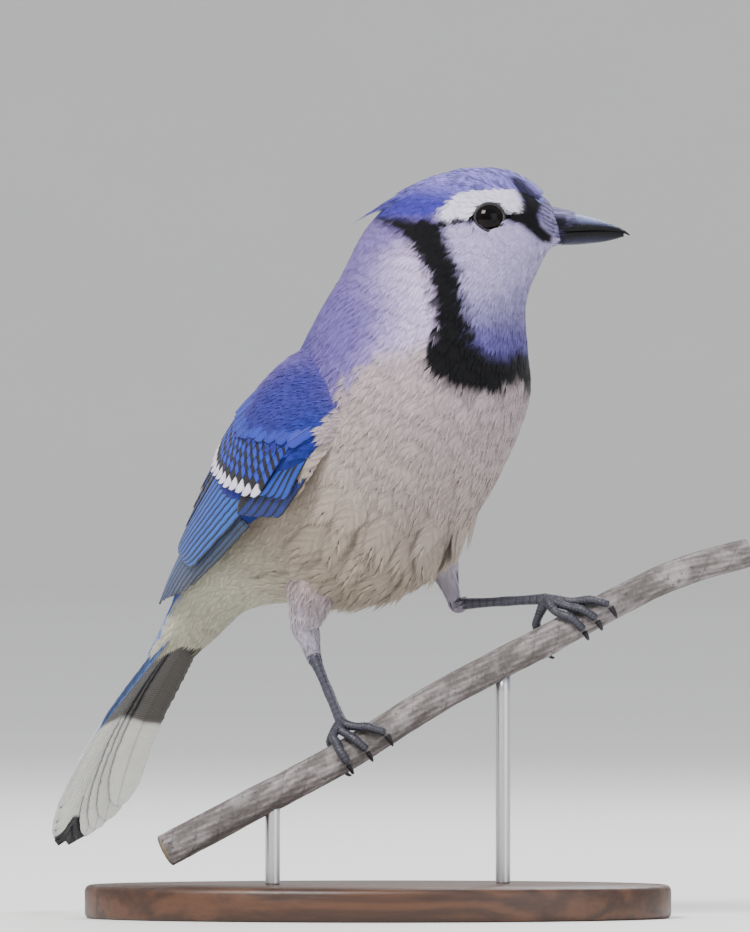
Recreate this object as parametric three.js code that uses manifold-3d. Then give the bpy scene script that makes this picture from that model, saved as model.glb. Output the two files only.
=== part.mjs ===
// A life-size blue jay in three.js, perched on a cut length of branch that two rods hold over a flat base.
// Millimetres, +Z up. The origin is the centre of the base's underside. Seen along +Y the bird's head is in
// profile and points along +X; its body is turned about the vertical towards -Y by BODY_YAW.
//
// The bird is described in its own coordinates: s forward, l to its left, z up, measured from the neck's
// upright axis. place() turns them into the model's frame, and the neck takes up the turn between body and head.

import * as THREE from "three";
import Module from "manifold-3d";

const wasm = await Module();
wasm.setup();
const { Manifold, Mesh: SolidMesh } = wasm;

const V = (x, y, z) => new THREE.Vector3(x, y, z);
const rad = THREE.MathUtils.degToRad;
const mix = THREE.MathUtils.lerp;

// Driving dimensions
const GAP = 0.3; // kept between neighbouring pieces
const BODY_YAW = rad(42);
const NECK_AXIS = { x: 18.6, y: -7 };
const EYE = { s: 14.1, z: 209.4, ball: 5.6, depth: 3.9, rim: 0.6 };
const EYE_SURFACE = 15.4; // how far out the side of the head is at the eye
const EYE_TILT = { forward: 0.16, up: 0.12 }; // of its axis, for 1 outward
const WING_LENGTH = 122;
const TAIL_LENGTH = 116;
const CREST_LENGTH = 66;
const VANE_THICK = 0.6;
const TIP_SHARE = 0.36; // a vane's width and thickness at its tip, as shares
const TIP_THIN = 0.7;
const EDGE_SLANT = 0.2;
const TARSUS_RADIUS = 1.55;
const TOE_RADIUS = 1.35;
const BASE = { halfLength: 88, halfDepth: 54, thick: 10, bevel: 1.5 };
const ROD_RADIUS = 2.2;
const ROD_AT_X = [-31.5, 37.5];

// One cross-section of the plumage outline for each station, from the tail root to the bill.
// s, z: where it is widest. pitch: how far its forward direction rises. up, down, half: its reach to the back,
// to the belly and to each side. turn: its share of the body's yaw.
const STATIONS = [
  { s: -119, z: 68, pitch: 52, up: 1.2, down: 1.4, half: 8, turn: 1 },
  { s: -111, z: 77, pitch: 50, up: 3, down: 4, half: 9.5, turn: 1 },
  { s: -101, z: 87, pitch: 47, up: 7, down: 7, half: 10.8, turn: 1 },
  { s: -90, z: 98.5, pitch: 44, up: 11.5, down: 10.5, half: 13.5, turn: 1 },
  { s: -77.1, z: 108.9, pitch: 42, up: 17.5, down: 20, half: 20, turn: 1 },
  { s: -54.9, z: 118.2, pitch: 40, up: 27, down: 31.5, half: 27.5, turn: 1 },
  { s: -35.1, z: 130, pitch: 38, up: 34.5, down: 36.5, half: 32, turn: 1 },
  { s: -20.2, z: 146.1, pitch: 40, up: 37, down: 37, half: 34.5, turn: 1 },
  { s: -9.5, z: 160.2, pitch: 46, up: 36.5, down: 36, half: 35, turn: 0.9 },
  { s: -2.5, z: 172.5, pitch: 55, up: 34.5, down: 34, half: 33, turn: 0.74 },
  { s: -0.6, z: 182.4, pitch: 63, up: 31, down: 30, half: 29.5, turn: 0.52 },
  { s: 1.2, z: 192.5, pitch: 67.5, up: 28, down: 26.5, half: 26, turn: 0.24 },
  { s: 4.2, z: 198.9, pitch: 69, up: 27, down: 25, half: 23.5, turn: 0.08 },
  { s: 7.5, z: 203.4, pitch: 66.5, up: 25.6, down: 23.8, half: 20.5, turn: 0 },
  { s: 12, z: 207.6, pitch: 61, up: 23.8, down: 21.5, half: 17.8, turn: 0 },
  { s: 17.4, z: 210.3, pitch: 54, up: 21.2, down: 18.2, half: 15.6, turn: 0 },
  { s: 22.8, z: 211.2, pitch: 45, up: 18.3, down: 14.8, half: 13.8, turn: 0 },
  { s: 27.4, z: 211.2, pitch: 35, up: 14, down: 12, half: 11.6, turn: 0 },
  { s: 31.3, z: 210, pitch: 26, up: 10.4, down: 9.4, half: 9.2, turn: 0 },
  { s: 35, z: 208.2, pitch: 17, up: 6.6, down: 7.2, half: 6.8, turn: 0 },
];
const TAIL_CUT = 3; // stations where one node ends and the next begins
const NECK_CUT = 9;
const HEAD_CUT = 12;

// Bird coordinates to the model's frame
function place(s, l, z, yaw = BODY_YAW) {
  const across = s * Math.cos(yaw) + l * Math.sin(yaw);
  const away = l * Math.cos(yaw) - s * Math.sin(yaw);
  return V(NECK_AXIS.x + across, NECK_AXIS.y + away, z);
}

// A smooth value between the entries of a list, by Catmull-Rom
function smooth(values, u) {
  const last = values.length - 1;
  const k = Math.min(Math.max(Math.floor(u), 0), last - 1);
  const f = u - k;
  const [a, b, c, d] = [k - 1, k, k + 1, k + 2].map((i) => values[Math.min(Math.max(i, 0), last)]);
  return 0.5 * (2 * b + (c - a) * f + (2 * a - 5 * b + 4 * c - d) * f * f + (3 * b - a - 3 * c + d) * f ** 3);
}

const column = Object.fromEntries(Object.keys(STATIONS[0]).map((key) => [key, STATIONS.map((st) => st[key])]));

// A point of the plumage outline: u counts stations, angle runs from the left side over the back
function outline(u, angle, grow = 0) {
  const at = (key) => smooth(column[key], u);
  const pitch = rad(at("pitch"));
  const high = Math.sin(angle) * ((Math.sin(angle) > 0 ? at("up") : at("down")) + grow);
  const side = Math.cos(angle) * (at("half") + grow);
  return place(at("s") - Math.sin(pitch) * high, side, at("z") + Math.cos(pitch) * high, at("turn") * BODY_YAW);
}

// Solids

function solidOf(points, faces) {
  let volume = 0;
  for (const [a, b, c] of faces) volume += points[a].dot(V().crossVectors(points[b], points[c]));
  const turned = volume < 0 ? faces.map(([a, b, c]) => [a, c, b]) : faces;
  return new Manifold(
    new SolidMesh({
      numProp: 3,
      vertProperties: new Float32Array(points.flatMap((p) => [p.x, p.y, p.z])),
      triVerts: new Uint32Array(turned.flat()),
    }),
  );
}

// A closed skin over a row of rings with the same number of points. The second half of each ring has its
// diagonals the other way, so that the two faces of a thin vane are split alike.
function loft(rings) {
  const n = rings[0].length;
  const faces = [];
  for (let k = 0; k + 1 < rings.length; k++)
    for (let j = 0; j < n; j++) {
      const [a, b] = [k * n + j, k * n + ((j + 1) % n)];
      const [c, d] = [b + n, a + n];
      if (j < n / 2) faces.push([a, b, c], [a, c, d]);
      else faces.push([a, b, d], [b, c, d]);
    }
  const end = (rings.length - 1) * n;
  for (let j = 1; j + 1 < n; j++) faces.push([0, j + 1, j], [end, end + j, end + j + 1]);
  return solidOf(rings.flat(), faces);
}

function fromGeometry(geometry, matrix) {
  const g = geometry.clone().applyMatrix4(matrix);
  const position = g.getAttribute("position");
  const index = g.index ? g.index.array : [...Array(position.count).keys()];
  const seen = new Map();
  const points = [];
  const merged = [];
  for (let i = 0; i < position.count; i++) {
    const p = V().fromBufferAttribute(position, i);
    const key = p.toArray().map((x) => Math.round(x * 1e4)).join();
    if (!seen.has(key)) seen.set(key, points.push(p) - 1);
    merged.push(seen.get(key));
  }
  const faces = [];
  for (let i = 0; i < index.length; i += 3) {
    const [a, b, c] = [merged[index[i]], merged[index[i + 1]], merged[index[i + 2]]];
    if (a !== b && b !== c && a !== c) faces.push([a, b, c]);
  }
  return solidOf(points, faces);
}

const union = (solids) => Manifold.union(solids);
const largest = (solid) => solid.decompose().reduce((a, b) => (b.volume() > a.volume() ? b : a));

// A tube through points, each with its own radius, with a given number of sides, and flatter where flat is under 1
function tube(points, radii, sides, flat = 1) {
  const along = points.map((_, i) =>
    V().subVectors(points[Math.min(i + 1, points.length - 1)], points[Math.max(i - 1, 0)]).normalize(),
  );
  const level = Math.abs(along[0].z) < 0.8 ? V(0, 0, 1) : V(0, 1, 0);
  let across = V().crossVectors(along[0], level).normalize();
  const rings = points.map((p, i) => {
    across = across.clone().addScaledVector(along[i], -across.dot(along[i])).normalize();
    const over = V().crossVectors(along[i], across);
    return Array.from({ length: sides }, (_, j) => {
      const a = (2 * Math.PI * j) / sides;
      const ray = p.clone().addScaledVector(across, Math.cos(a) * radii[i]);
      return ray.addScaledVector(over, Math.sin(a) * radii[i] * flat);
    });
  });
  return loft(rings);
}

// Part of the plumage outline between two stations, as one solid
function section(from, to, { sides = 28, rings, grow = 0 }) {
  return loft(
    Array.from({ length: rings + 1 }, (_, k) =>
      Array.from({ length: sides }, (_, j) =>
        outline(mix(from, to, k / rings), (2 * Math.PI * (j + 0.5)) / sides, grow),
      ),
    ),
  );
}

// Strips: curved bands that vanes lie on, with x along, w across and h above

function strip(length, centres, normals, radii, toFrame) {
  const curve = new THREE.CatmullRomCurve3(centres.map((c) => V(...c)), false, "centripetal");
  const values = normals.map((n) => V(...n));
  return (x, w, h) => {
    const t = Math.min(Math.max(x / length, 0), 1);
    const beyond = x - t * length;
    const u = t * (centres.length - 1);
    const along = curve.getTangentAt(t);
    const p = curve.getPointAt(t).addScaledVector(along, beyond);
    const out = V(...["x", "y", "z"].map((k) => smooth(values.map((n) => n[k]), u)));
    out.addScaledVector(along, -out.dot(along)).normalize();
    const across = V().crossVectors(along, out);
    const r = smooth(radii, u);
    const ray = out.clone().multiplyScalar(Math.cos(w / r)).addScaledVector(across, Math.sin(w / r));
    p.addScaledVector(out, -r).addScaledVector(ray, r + h);
    return toFrame(p.x, p.y, p.z);
  };
}

// A feather's vane: a thin plate from root to tip, [x, w] each, that widens and ends round. h is its height at
// the root and at the tip, and lift raises its free edge, the one at smaller w, over the feather beneath.
function vane(surface, { root, tip, half, h, segments = 4, lift = 0.2, thick = VANE_THICK, rootHalf = 0.55 }) {
  return loft(
    row(segments + 1, (t) => {
      const x = mix(root[0], tip[0], t);
      const w = mix(root[1], tip[1], t);
      const swell = mix(rootHalf, 1, Math.sin(Math.min(t / 0.6, 1) * (Math.PI / 2)));
      const reach = half * (t === 1 ? TIP_SHARE : swell);
      const back = t === 1 ? 0 : reach * EDGE_SLANT;
      const top = mix(h[0], h[1], t);
      const slab = t === 1 ? thick * TIP_THIN : thick;
      return [
        surface(x - back, w - reach, top + lift),
        surface(x - back, w + reach, top - lift),
        surface(x - back, w + reach, top - lift - slab),
        surface(x - back, w - reach, top + lift - slab),
      ];
    }),
  );
}

const ball = (centre, r, around = 16, high = 10) =>
  fromGeometry(new THREE.SphereGeometry(r, around, high), new THREE.Matrix4().setPosition(centre));

const row = (count, make) => Array.from({ length: count }, (_, i) => make(count > 1 ? i / (count - 1) : 0, i));

// Torso, neck and head

const torso = section(TAIL_CUT + 0.02, NECK_CUT - 0.035, { sides: 24, rings: 15 });
const neck = section(NECK_CUT + 0.035, HEAD_CUT - 0.06, { sides: 24, rings: 7 });
const torsoGrown = section(TAIL_CUT - 0.01, NECK_CUT + 0.01, { sides: 24, rings: 15, grow: GAP });

const headYaw = (s, l, z) => place(s, l, z, 0);

const crestSurface = strip(
  CREST_LENGTH,
  [
    [31.5, 0, 218.6],
    [21, 0, 224],
    [11.4, 0, 225],
    [2.4, 0, 224],
    [-6.6, 0, 221],
    [-14.4, 0, 216.8],
    [-20.4, 0, 213],
    [-24.6, 0, 210.2],
  ],
  [
    [0.5, 0, 0.86],
    [0.25, 0, 0.97],
    [0, 0, 1],
    [-0.15, 0, 1],
    [-0.35, 0, 0.93],
    [-0.5, 0, 0.86],
    [-0.5, 0, 0.86],
    [-0.5, 0, 0.86],
  ],
  [11, 12.5, 14, 14.5, 14, 12, 10, 9],
  headYaw,
);

const CREST_ROOTS = 0.85; // how far apart the crest feathers' roots and tips stand, as shares of their tier's reach
const CREST_TIPS = 0.58;

// Three tiers of crest feathers that overlap from the forehead back. The outer ones are shorter, so the crest's
// hind edge slants down to the cheek.
function crest() {
  const tier = (count, reach, start, end, slant, h, half) =>
    row(count, (f) => {
      const w = mix(-reach, reach, f);
      return vane(crestSurface, {
        root: [start, w * CREST_ROOTS],
        tip: [end - slant * Math.abs(w), w * CREST_TIPS],
        half,
        h,
        lift: 0,
        segments: 3,
      });
    });
  return [
    ...tier(7, 17, 30, CREST_LENGTH, 1.3, [-1.2, 0.1], 2.9),
    ...tier(6, 15, 17, 49, 0.9, [-1, 0.7], 3),
    ...tier(5, 11, 5, 31, 0.7, [-0.9, 1.1], 2.9),
  ];
}

// The ring of lids round each eye, and the socket that the eyeball sits in
const eyeAt = (side) => place(EYE.s, side * (EYE_SURFACE - EYE.depth), EYE.z, 0);

function lids(side) {
  const opening = Math.sqrt(EYE.ball ** 2 - EYE.depth ** 2);
  const ring = new THREE.TorusGeometry(opening + EYE.rim * 0.8, EYE.rim, 5, 16);
  const out = V(EYE_TILT.forward, side, EYE_TILT.up).normalize();
  const turn = new THREE.Matrix4().makeRotationFromQuaternion(
    new THREE.Quaternion().setFromUnitVectors(V(0, 0, 1), out),
  );
  return fromGeometry(ring, turn.setPosition(eyeAt(side).addScaledVector(out, EYE.depth - 0.1)));
}

// Bill. Stations give the distance forward s, the culmen, the line of the mouth, the lower edge and half width.
const BILL = [
  { s: 36.4, top: 212.4, mouth: 205.7, bottom: 201.7, half: 5.5 },
  { s: 40.5, top: 211.3, mouth: 205.9, bottom: 201.8, half: 5 },
  { s: 45, top: 210.2, mouth: 206.1, bottom: 202.2, half: 4.2 },
  { s: 49, top: 209.1, mouth: 206.1, bottom: 202.7, half: 3.4 },
  { s: 52.5, top: 207.8, mouth: 205.9, bottom: 203.5, half: 2.5 },
  { s: 54.8, top: 206.6, mouth: 205.4, bottom: 204.2, half: 1.6 },
  { s: 56.8, top: 205.1, mouth: 204.6, bottom: 204.3, half: 0.6 },
];
const MOUTH_GAP = 0.32;
const BILL_ARCH = 0.8; // how square the upper bill's section is, and the lower's
const BILL_ARCH_LOWER = 0.9;
const LOWER_BILL_WIDTH = 0.86; // as a share of the upper's

function mandible(stations, arch) {
  const rings = stations.map(({ s, half, edge, ridge }) =>
    Array.from({ length: 12 }, (_, j) => {
      const a = (Math.PI * Math.min(j, 8)) / 8;
      const under = j > 8 ? (j - 8) / 4 : 0;
      const l = j > 8 ? mix(-half, half, under) : half * Math.cos(a);
      const z = j > 8 ? edge : mix(edge, ridge, Math.sin(a) ** arch);
      return headYaw(s, l, z);
    }),
  );
  return loft(rings);
}

const billUpper = mandible(
  BILL.map(({ s, top, mouth, half }) => ({ s, half, edge: mouth + MOUTH_GAP / 2, ridge: top })),
  BILL_ARCH,
);
const billLower = mandible(
  BILL.slice(0, -1).map(({ s, mouth, bottom, half }) => ({
    s,
    half: half * LOWER_BILL_WIDTH,
    edge: mouth - MOUTH_GAP / 2,
    ridge: bottom,
  })),
  BILL_ARCH_LOWER,
);

// Bristle tufts that lie forward over the nostrils, close to the bill's base. Each is a tube of three points:
// how far forward, how far off the bill, and how thick.
const BRISTLES = [
  { s: 32.5, off: 0.1, r: 1.2 },
  { s: 36.6, off: 0.7, r: 0.9 },
  { s: 40.6, off: 0.75, r: 0.3 },
];
const BRISTLE_ANGLES = [80, 52, 26]; // up from the line of the mouth
const BRISTLE_FLAT = 0.7;

function nostrilTufts() {
  const [base, next] = BILL;
  const along = (key, s) => mix(base[key], next[key], (s - base.s) / (next.s - base.s));
  return [-1, 1].flatMap((side) =>
    BRISTLE_ANGLES.map((degrees) => {
      const path = BRISTLES.map(({ s, off }) => {
        const l = side * (along("half", s) + off) * Math.cos(rad(degrees));
        const rise = along("top", s) - along("mouth", s) + off;
        return headYaw(s, l, along("mouth", s) + rise * Math.sin(rad(degrees)) ** BILL_ARCH);
      });
      return tube(path, BRISTLES.map(({ r }) => r), 6, BRISTLE_FLAT);
    }),
  );
}

// The room cut for the bill in the head
const billRoom = loft(
  BILL.map(({ s, top, bottom, half }) =>
    row(12, (_, j) => {
      const a = (2 * Math.PI * j) / 12;
      const mid = (top + bottom) / 2;
      return headYaw(s - GAP, (half + GAP) * 1.04 * Math.cos(a), mid + (top - mid + GAP) * 1.12 * Math.sin(a));
    }),
  ),
);

function head() {
  const skull = section(HEAD_CUT + 0.06, STATIONS.length - 1, { sides: 24, rings: 13 });
  const grown = union([skull, ...crest(), ...nostrilTufts(), lids(-1), lids(1)]);
  const sockets = union([-1, 1].map((side) => ball(eyeAt(side), EYE.ball + GAP)));
  const neckRoom = section(NECK_CUT, HEAD_CUT + 0.02, { sides: 24, rings: 7, grow: GAP });
  return largest(grown.subtract(sockets).subtract(neckRoom).subtract(billRoom));
}

// Wings, made for the right side and mirrored for the left

const wingSurface = (side) =>
  strip(
    WING_LENGTH,
    [
      [-8, -32.5, 163],
      [-31, -36, 154],
      [-52, -34, 138],
      [-72, -27, 122],
      [-90, -17, 108],
      [-105, -8.5, 94],
    ],
    [
      [-0.1, -0.97, 0.15],
      [-0.2, -0.93, 0.3],
      [-0.26, -0.9, 0.34],
      [-0.35, -0.82, 0.45],
      [-0.45, -0.68, 0.58],
      [-0.5, -0.6, 0.62],
    ],
    [30, 35, 34, 27, 18, 14],
    (s, l, z) => place(s, -side * l, z),
  );

function wing(side) {
  const surface = wingSurface(side);
  const arm = loft(
    row(9, (f) => {
      const x = mix(1, 92, f);
      const u = x / 24;
      const dorsal = smooth([12, 21, 20, 13, 5], u) - 1;
      const ventral = smooth([13, 22, 24, 17, 8], u) - 1;
      const rise = smooth([0.4, 2.6, 2.4, 1.2, 0.5], u);
      return row(12, (_, j) => {
        const a = (2 * Math.PI * j) / 12;
        const w = Math.cos(a) * (Math.cos(a) > 0 ? dorsal : ventral);
        return surface(x, w, Math.sin(a) * (Math.sin(a) > 0 ? rise : 4));
      });
    }),
  );
  // From the root row to the tip row of each tier, from its lowest feather up
  const tier = (count, { root, tip, half, h, segments }) =>
    row(count, (f) =>
      vane(surface, {
        root: root(f),
        tip: tip(f),
        half,
        h: [mix(h[0], h[1], f), mix(h[2], h[3], f)],
        segments,
      }),
    );
  const primaries = tier(7, {
    root: (f) => [56, mix(-18, -9, f)],
    tip: (f) => [mix(94, WING_LENGTH, f ** 0.7), mix(-12, -1, f)],
    half: 3.7,
    h: [0.8, 0.6, 0, 1],
    segments: 4,
  });
  const secondaries = tier(6, {
    root: (f) => [50, mix(-13, 3, f)],
    tip: (f) => [mix(90, 98, f), mix(-9.5, 2.5, f)],
    half: 4.4,
    h: [1.2, 1.4, 1.6, 2],
    segments: 3,
  });
  const tertials = tier(3, {
    root: (f) => [mix(52, 46, f), mix(4, 13, f)],
    tip: (f) => [mix(97, 82, f), mix(3.5, 11, f)],
    half: 5.6,
    h: [1.6, 1.6, 2.3, 2.9],
    segments: 3,
  });
  const greaterCoverts = tier(8, {
    root: (f) => [mix(42, 34, f), mix(-11, 15, f)],
    tip: (f) => [mix(63, 59, f), mix(-10, 15.5, f)],
    half: 3,
    h: [1.7, 2, 2.7, 3.3],
    segments: 3,
  });
  const medianCoverts = tier(6, {
    root: (f) => [mix(30, 25, f), mix(-12, 14, f)],
    tip: (f) => [mix(45, 41, f), mix(-11, 15, f)],
    half: 3.7,
    h: [1.9, 1.9, 3.4, 3.8],
    segments: 3,
  });
  const primaryCoverts = tier(4, {
    root: (f) => [40, mix(-21, -14, f)],
    tip: (f) => [mix(64, 74, f), mix(-20, -13, f)],
    half: 2.7,
    h: [0.8, 1.2, 1.5, 1.9],
    segments: 3,
  });
  const alula = tier(3, {
    root: (f) => [24, mix(-21, -16, f)],
    tip: (f) => [mix(46, 55, f), mix(-21.5, -16, f)],
    half: 2.6,
    h: [1, 1.6, 2.2, 2.8],
    segments: 3,
  });
  const all = [
    arm,
    ...primaries,
    ...secondaries,
    ...tertials,
    ...greaterCoverts,
    ...medianCoverts,
    ...primaryCoverts,
    ...alula,
  ];
  return largest(union(all).subtract(torsoGrown));
}

// Tail

const tailSurface = strip(
  TAIL_LENGTH,
  [
    [-81, 0, 110],
    [-108.3, -0.6, 82.7],
    [-134.6, -1.6, 52],
    [-151.6, -2, 19.2],
  ],
  [
    [-0.7, -0.2, 0.7],
    [-0.75, -0.14, 0.66],
    [-0.82, -0.06, 0.57],
    [-0.88, 0, 0.48],
  ],
  [15, 20, 32, 42],
  (s, l, z) => place(s, l, z),
);
const TAIL_STEPS = [0, 2, 3.5, 6, 9.5, 15]; // how much shorter each feather is, from the middle pair out
const TAIL_FAN = [2.4, 13.6]; // how far from the tail's middle the tips of the middle and outermost feathers are

function tail() {
  const outermost = TAIL_STEPS.length - 1;
  const feathers = [-1, 1].flatMap((side) =>
    TAIL_STEPS.map((less, i) =>
      vane(tailSurface, {
        root: [16, side * mix(0.5, 2.4, i / outermost)],
        tip: [TAIL_LENGTH - less, side * mix(TAIL_FAN[0], TAIL_FAN[1], i / outermost)],
        half: 5.9,
        h: [mix(1.2, -1.2, i / outermost), mix(1.4, -1.8, i / outermost) + (side > 0 ? 0.2 : 0)],
        lift: -side * 0.3,
        segments: 5,
        rootHalf: 0.5,
      }),
    ),
  );
  const coverts = section(0, TAIL_CUT - 0.025, { sides: 20, rings: 7 });
  return largest(union([coverts, ...feathers]).subtract(torsoGrown));
}

// Perch, legs and feet

const BRANCH = [
  [-64, 20.4],
  [-40.5, 32.7],
  [-10.5, 48.6],
  [19.5, 67.2],
  [49.5, 82.8],
  [73.5, 95.7],
  [91.5, 103.8],
  [112, 109.8],
];
const BRANCH_RADIUS = [5, 4.4];
const BRANCH_AWAY = Math.tan(rad(12)); // how fast the branch recedes along +X
const branchY = (x) => -8.4 + x * BRANCH_AWAY;
const branchCurve = new THREE.CatmullRomCurve3(BRANCH.map(([x, z]) => V(x, branchY(x), z)), false, "centripetal");
const branchRadius = (t) => mix(BRANCH_RADIUS[0], BRANCH_RADIUS[1], t);

function branch(grow, rings, sides) {
  const up = V(0, 0, 1);
  return loft(
    row(rings, (t) => {
      const p = branchCurve.getPointAt(t);
      const along = branchCurve.getTangentAt(t);
      const away = V().crossVectors(up, along).normalize();
      const over = V().crossVectors(along, away);
      return Array.from({ length: sides }, (_, j) => {
        const a = (2 * Math.PI * j) / sides;
        const r = branchRadius(t) * (1 + 0.03 * Math.sin(17 * t + 2 * a)) + grow;
        return p
          .clone()
          .addScaledVector(away, r * Math.cos(a))
          .addScaledVector(over, r * Math.sin(a));
      });
    }),
  );
}
const perch = branch(0, 20, 12);
const perchGrown = branch(GAP, 20, 12);

// Share of the branch's length at a given x
function branchShare(x) {
  let [low, high] = [0, 1];
  for (let i = 0; i < 30; i++) {
    const mid = (low + high) / 2;
    if (branchCurve.getPointAt(mid).x < x) low = mid;
    else high = mid;
  }
  return low;
}

// A point round the branch: along it by d, at an angle from its top towards the viewer, h above the bark
function roundBranch(x, d, degrees, h) {
  const t = branchShare(x);
  const along = branchCurve.getTangentAt(t);
  const front = V().crossVectors(along, V(0, 0, 1)).normalize();
  const over = V().crossVectors(front, along);
  const r = branchRadius(t) * 1.03 + h;
  return branchCurve
    .getPointAt(Math.min(Math.max(t + d / branchCurve.getLength(), 0), 1))
    .addScaledVector(over, Math.cos(rad(degrees)) * r)
    .addScaledVector(front, Math.sin(rad(degrees)) * r);
}

// Each leg: where the feathered thigh starts, the heel, the knuckle and the foot's place on the branch.
// A toe goes [distance along the branch, degrees round it] at each joint, and its claw follows on.
const LEGS = {
  right: {
    thigh: [place(-40, -13, 98), place(-44, -11.5, 88)],
    thighRadii: [8, 5.8, 4.4, 3],
    heel: place(-42.3, -9.9, 78.6),
    knuckle: V(-11.1, -9, 59.1),
    footX: -10,
    toes: [
      [[-0.5, 20], [-1.5, 62], [-1.5, 104]],
      [[2.5, 14], [4, 58], [5.5, 100]],
      [[5, 10], [9.5, 50], [13, 88]],
      [[-0.5, -42], [-1, -82], [-1.5, -120]],
    ],
  },
  left: {
    thigh: [place(-22, 19, 118), place(-20.5, 24, 106)],
    thighRadii: [8, 6.2, 4.6, 2.5],
    heel: place(-15.8, 24.8, 93.9),
    knuckle: V(50.4, 4, 95.7),
    footX: 53,
    toes: [
      [[3, 22], [6, 66], [7.5, 108]],
      [[6, 14], [10, 56], [12.5, 98]],
      [[8, 6], [14, 42], [18, 80]],
      [[-2, -40], [-3, -80], [-3.5, -118]],
    ],
  },
};
const TOE_SWELL = [1.2, 1.15, 0.92, 1.08, 0.9, 0.98]; // pads and joints, from the knuckle out
const CLAW_START = 12; // degrees round the branch from a toe's end to its claw
const CLAW_TURN = 44; // and from there to the claw's point

function leg({ thigh, thighRadii, heel, knuckle, footX, toes }) {
  const shin = V().subVectors(knuckle, heel).normalize();
  const shank = V().subVectors(heel, thigh[1]).normalize();
  const cuff = tube(
    [thigh[0], thigh[1], heel.clone().addScaledVector(shank, -5), heel.clone().addScaledVector(shank, 0.5)],
    thighRadii,
    12,
  );
  const shankTube = (grow) =>
    tube(
      [
        heel.clone().addScaledVector(shin, -1 - grow),
        heel.clone().addScaledVector(shin, 2.5),
        ...row(5, (f) => heel.clone().lerp(knuckle, mix(0.25, 0.85, f))),
        knuckle.clone(),
      ],
      [1.25, 1.15, 1, 0.93, 1, 0.93, 1, 1.1].map((k) => k * TARSUS_RADIUS + grow),
      10,
    );
  const toePath = ([near, mid, far]) => {
    const between = (a, b) => [(a[0] + b[0]) / 2, (a[1] + b[1]) / 2];
    const joints = [near, between(near, mid), mid, between(mid, far), far];
    const lift = [1.1, 0, 0, 0, 0];
    const clear = TOE_RADIUS + GAP;
    return [
      knuckle.clone().addScaledVector(shin, 0.2),
      ...joints.map(([d, degrees], i) => roundBranch(footX, d, degrees, clear + lift[i])),
    ];
  };
  const footOf = (grow) =>
    union([
      ...toes.map((toe) => tube(toePath(toe), TOE_SWELL.map((k) => k * TOE_RADIUS + grow), 7)),
      ball(knuckle, TOE_RADIUS * 1.35 + grow, 10, 8),
    ]);
  const claws = toes.map(([, , end]) => {
    const step = Math.sign(end[1]);
    const from = end[1] + step * CLAW_START;
    return tube(
      row(4, (f) =>
        roundBranch(footX, end[0] + 0.6 * f, from + step * CLAW_TURN * f, GAP + mix(TOE_RADIUS, 0.7, f)),
      ),
      [0.95, 0.85, 0.6, 0.15],
      7,
    );
  });
  return {
    thigh: largest(cuff.subtract(union([torsoGrown, shankTube(GAP)]))),
    tarsus: largest(shankTube(0).subtract(footOf(GAP))),
    foot: footOf(0),
    claws,
  };
}

// Stand

const basePlate = () => {
  const shape = new THREE.Shape().absellipse(
    0,
    0,
    BASE.halfLength - BASE.bevel,
    BASE.halfDepth - BASE.bevel,
    0,
    2 * Math.PI,
  );
  const plate = new THREE.ExtrudeGeometry(shape, {
    depth: BASE.thick - 2 * BASE.bevel,
    bevelThickness: BASE.bevel,
    bevelSize: BASE.bevel,
    bevelSegments: 1,
    curveSegments: 20,
  });
  return fromGeometry(plate, new THREE.Matrix4().makeTranslation(0, 0, BASE.bevel));
};

function rod(x) {
  const top = branchCurve.getPointAt(branchShare(x));
  const height = top.z - BASE.thick - GAP;
  const cylinder = new THREE.CylinderGeometry(ROD_RADIUS, ROD_RADIUS, height, 20);
  const upright = new THREE.Matrix4().makeRotationX(Math.PI / 2);
  upright.setPosition(x, top.y, BASE.thick + GAP + height / 2);
  return largest(fromGeometry(cylinder, upright).subtract(perchGrown));
}

// The scene graph

const FINISH = {
  blue: { color: 0x5a63b8, roughness: 0.75 },
  violet: { color: 0x8d8fc0, roughness: 0.8 },
  pale: { color: 0xc4b8b2, roughness: 0.85 },
  wing: { color: 0x2c62c8, roughness: 0.6 },
  tail: { color: 0x3f7bcb, roughness: 0.6 },
  down: { color: 0xcfccd0, roughness: 0.9 },
  bill: { color: 0x20222c, roughness: 0.35 },
  eye: { color: 0x120a08, roughness: 0.05 },
  leg: { color: 0x22222b, roughness: 0.5 },
  claw: { color: 0x15151a, roughness: 0.3 },
  bark: { color: 0x8b817c, roughness: 0.9 },
  wood: { color: 0x5a3a26, roughness: 0.45 },
  steel: { color: 0x9a9a9c, roughness: 0.3, metalness: 1 },
};

const jay = new THREE.Group();

function add(name, solid, finish) {
  const mesh = solid.getMesh();
  const vertices = new Float32Array(mesh.numVert * 3);
  for (let i = 0; i < mesh.numVert; i++)
    vertices.set(mesh.vertProperties.subarray(i * mesh.numProp, i * mesh.numProp + 3), i * 3);
  const geometry = new THREE.BufferGeometry();
  geometry.setAttribute("position", new THREE.BufferAttribute(vertices, 3));
  geometry.setIndex(new THREE.BufferAttribute(new Uint32Array(mesh.triVerts), 1));
  geometry.computeVertexNormals();
  const piece = new THREE.Mesh(geometry, new THREE.MeshStandardMaterial(FINISH[finish]));
  piece.name = name;
  jay.add(piece);
}

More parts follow.
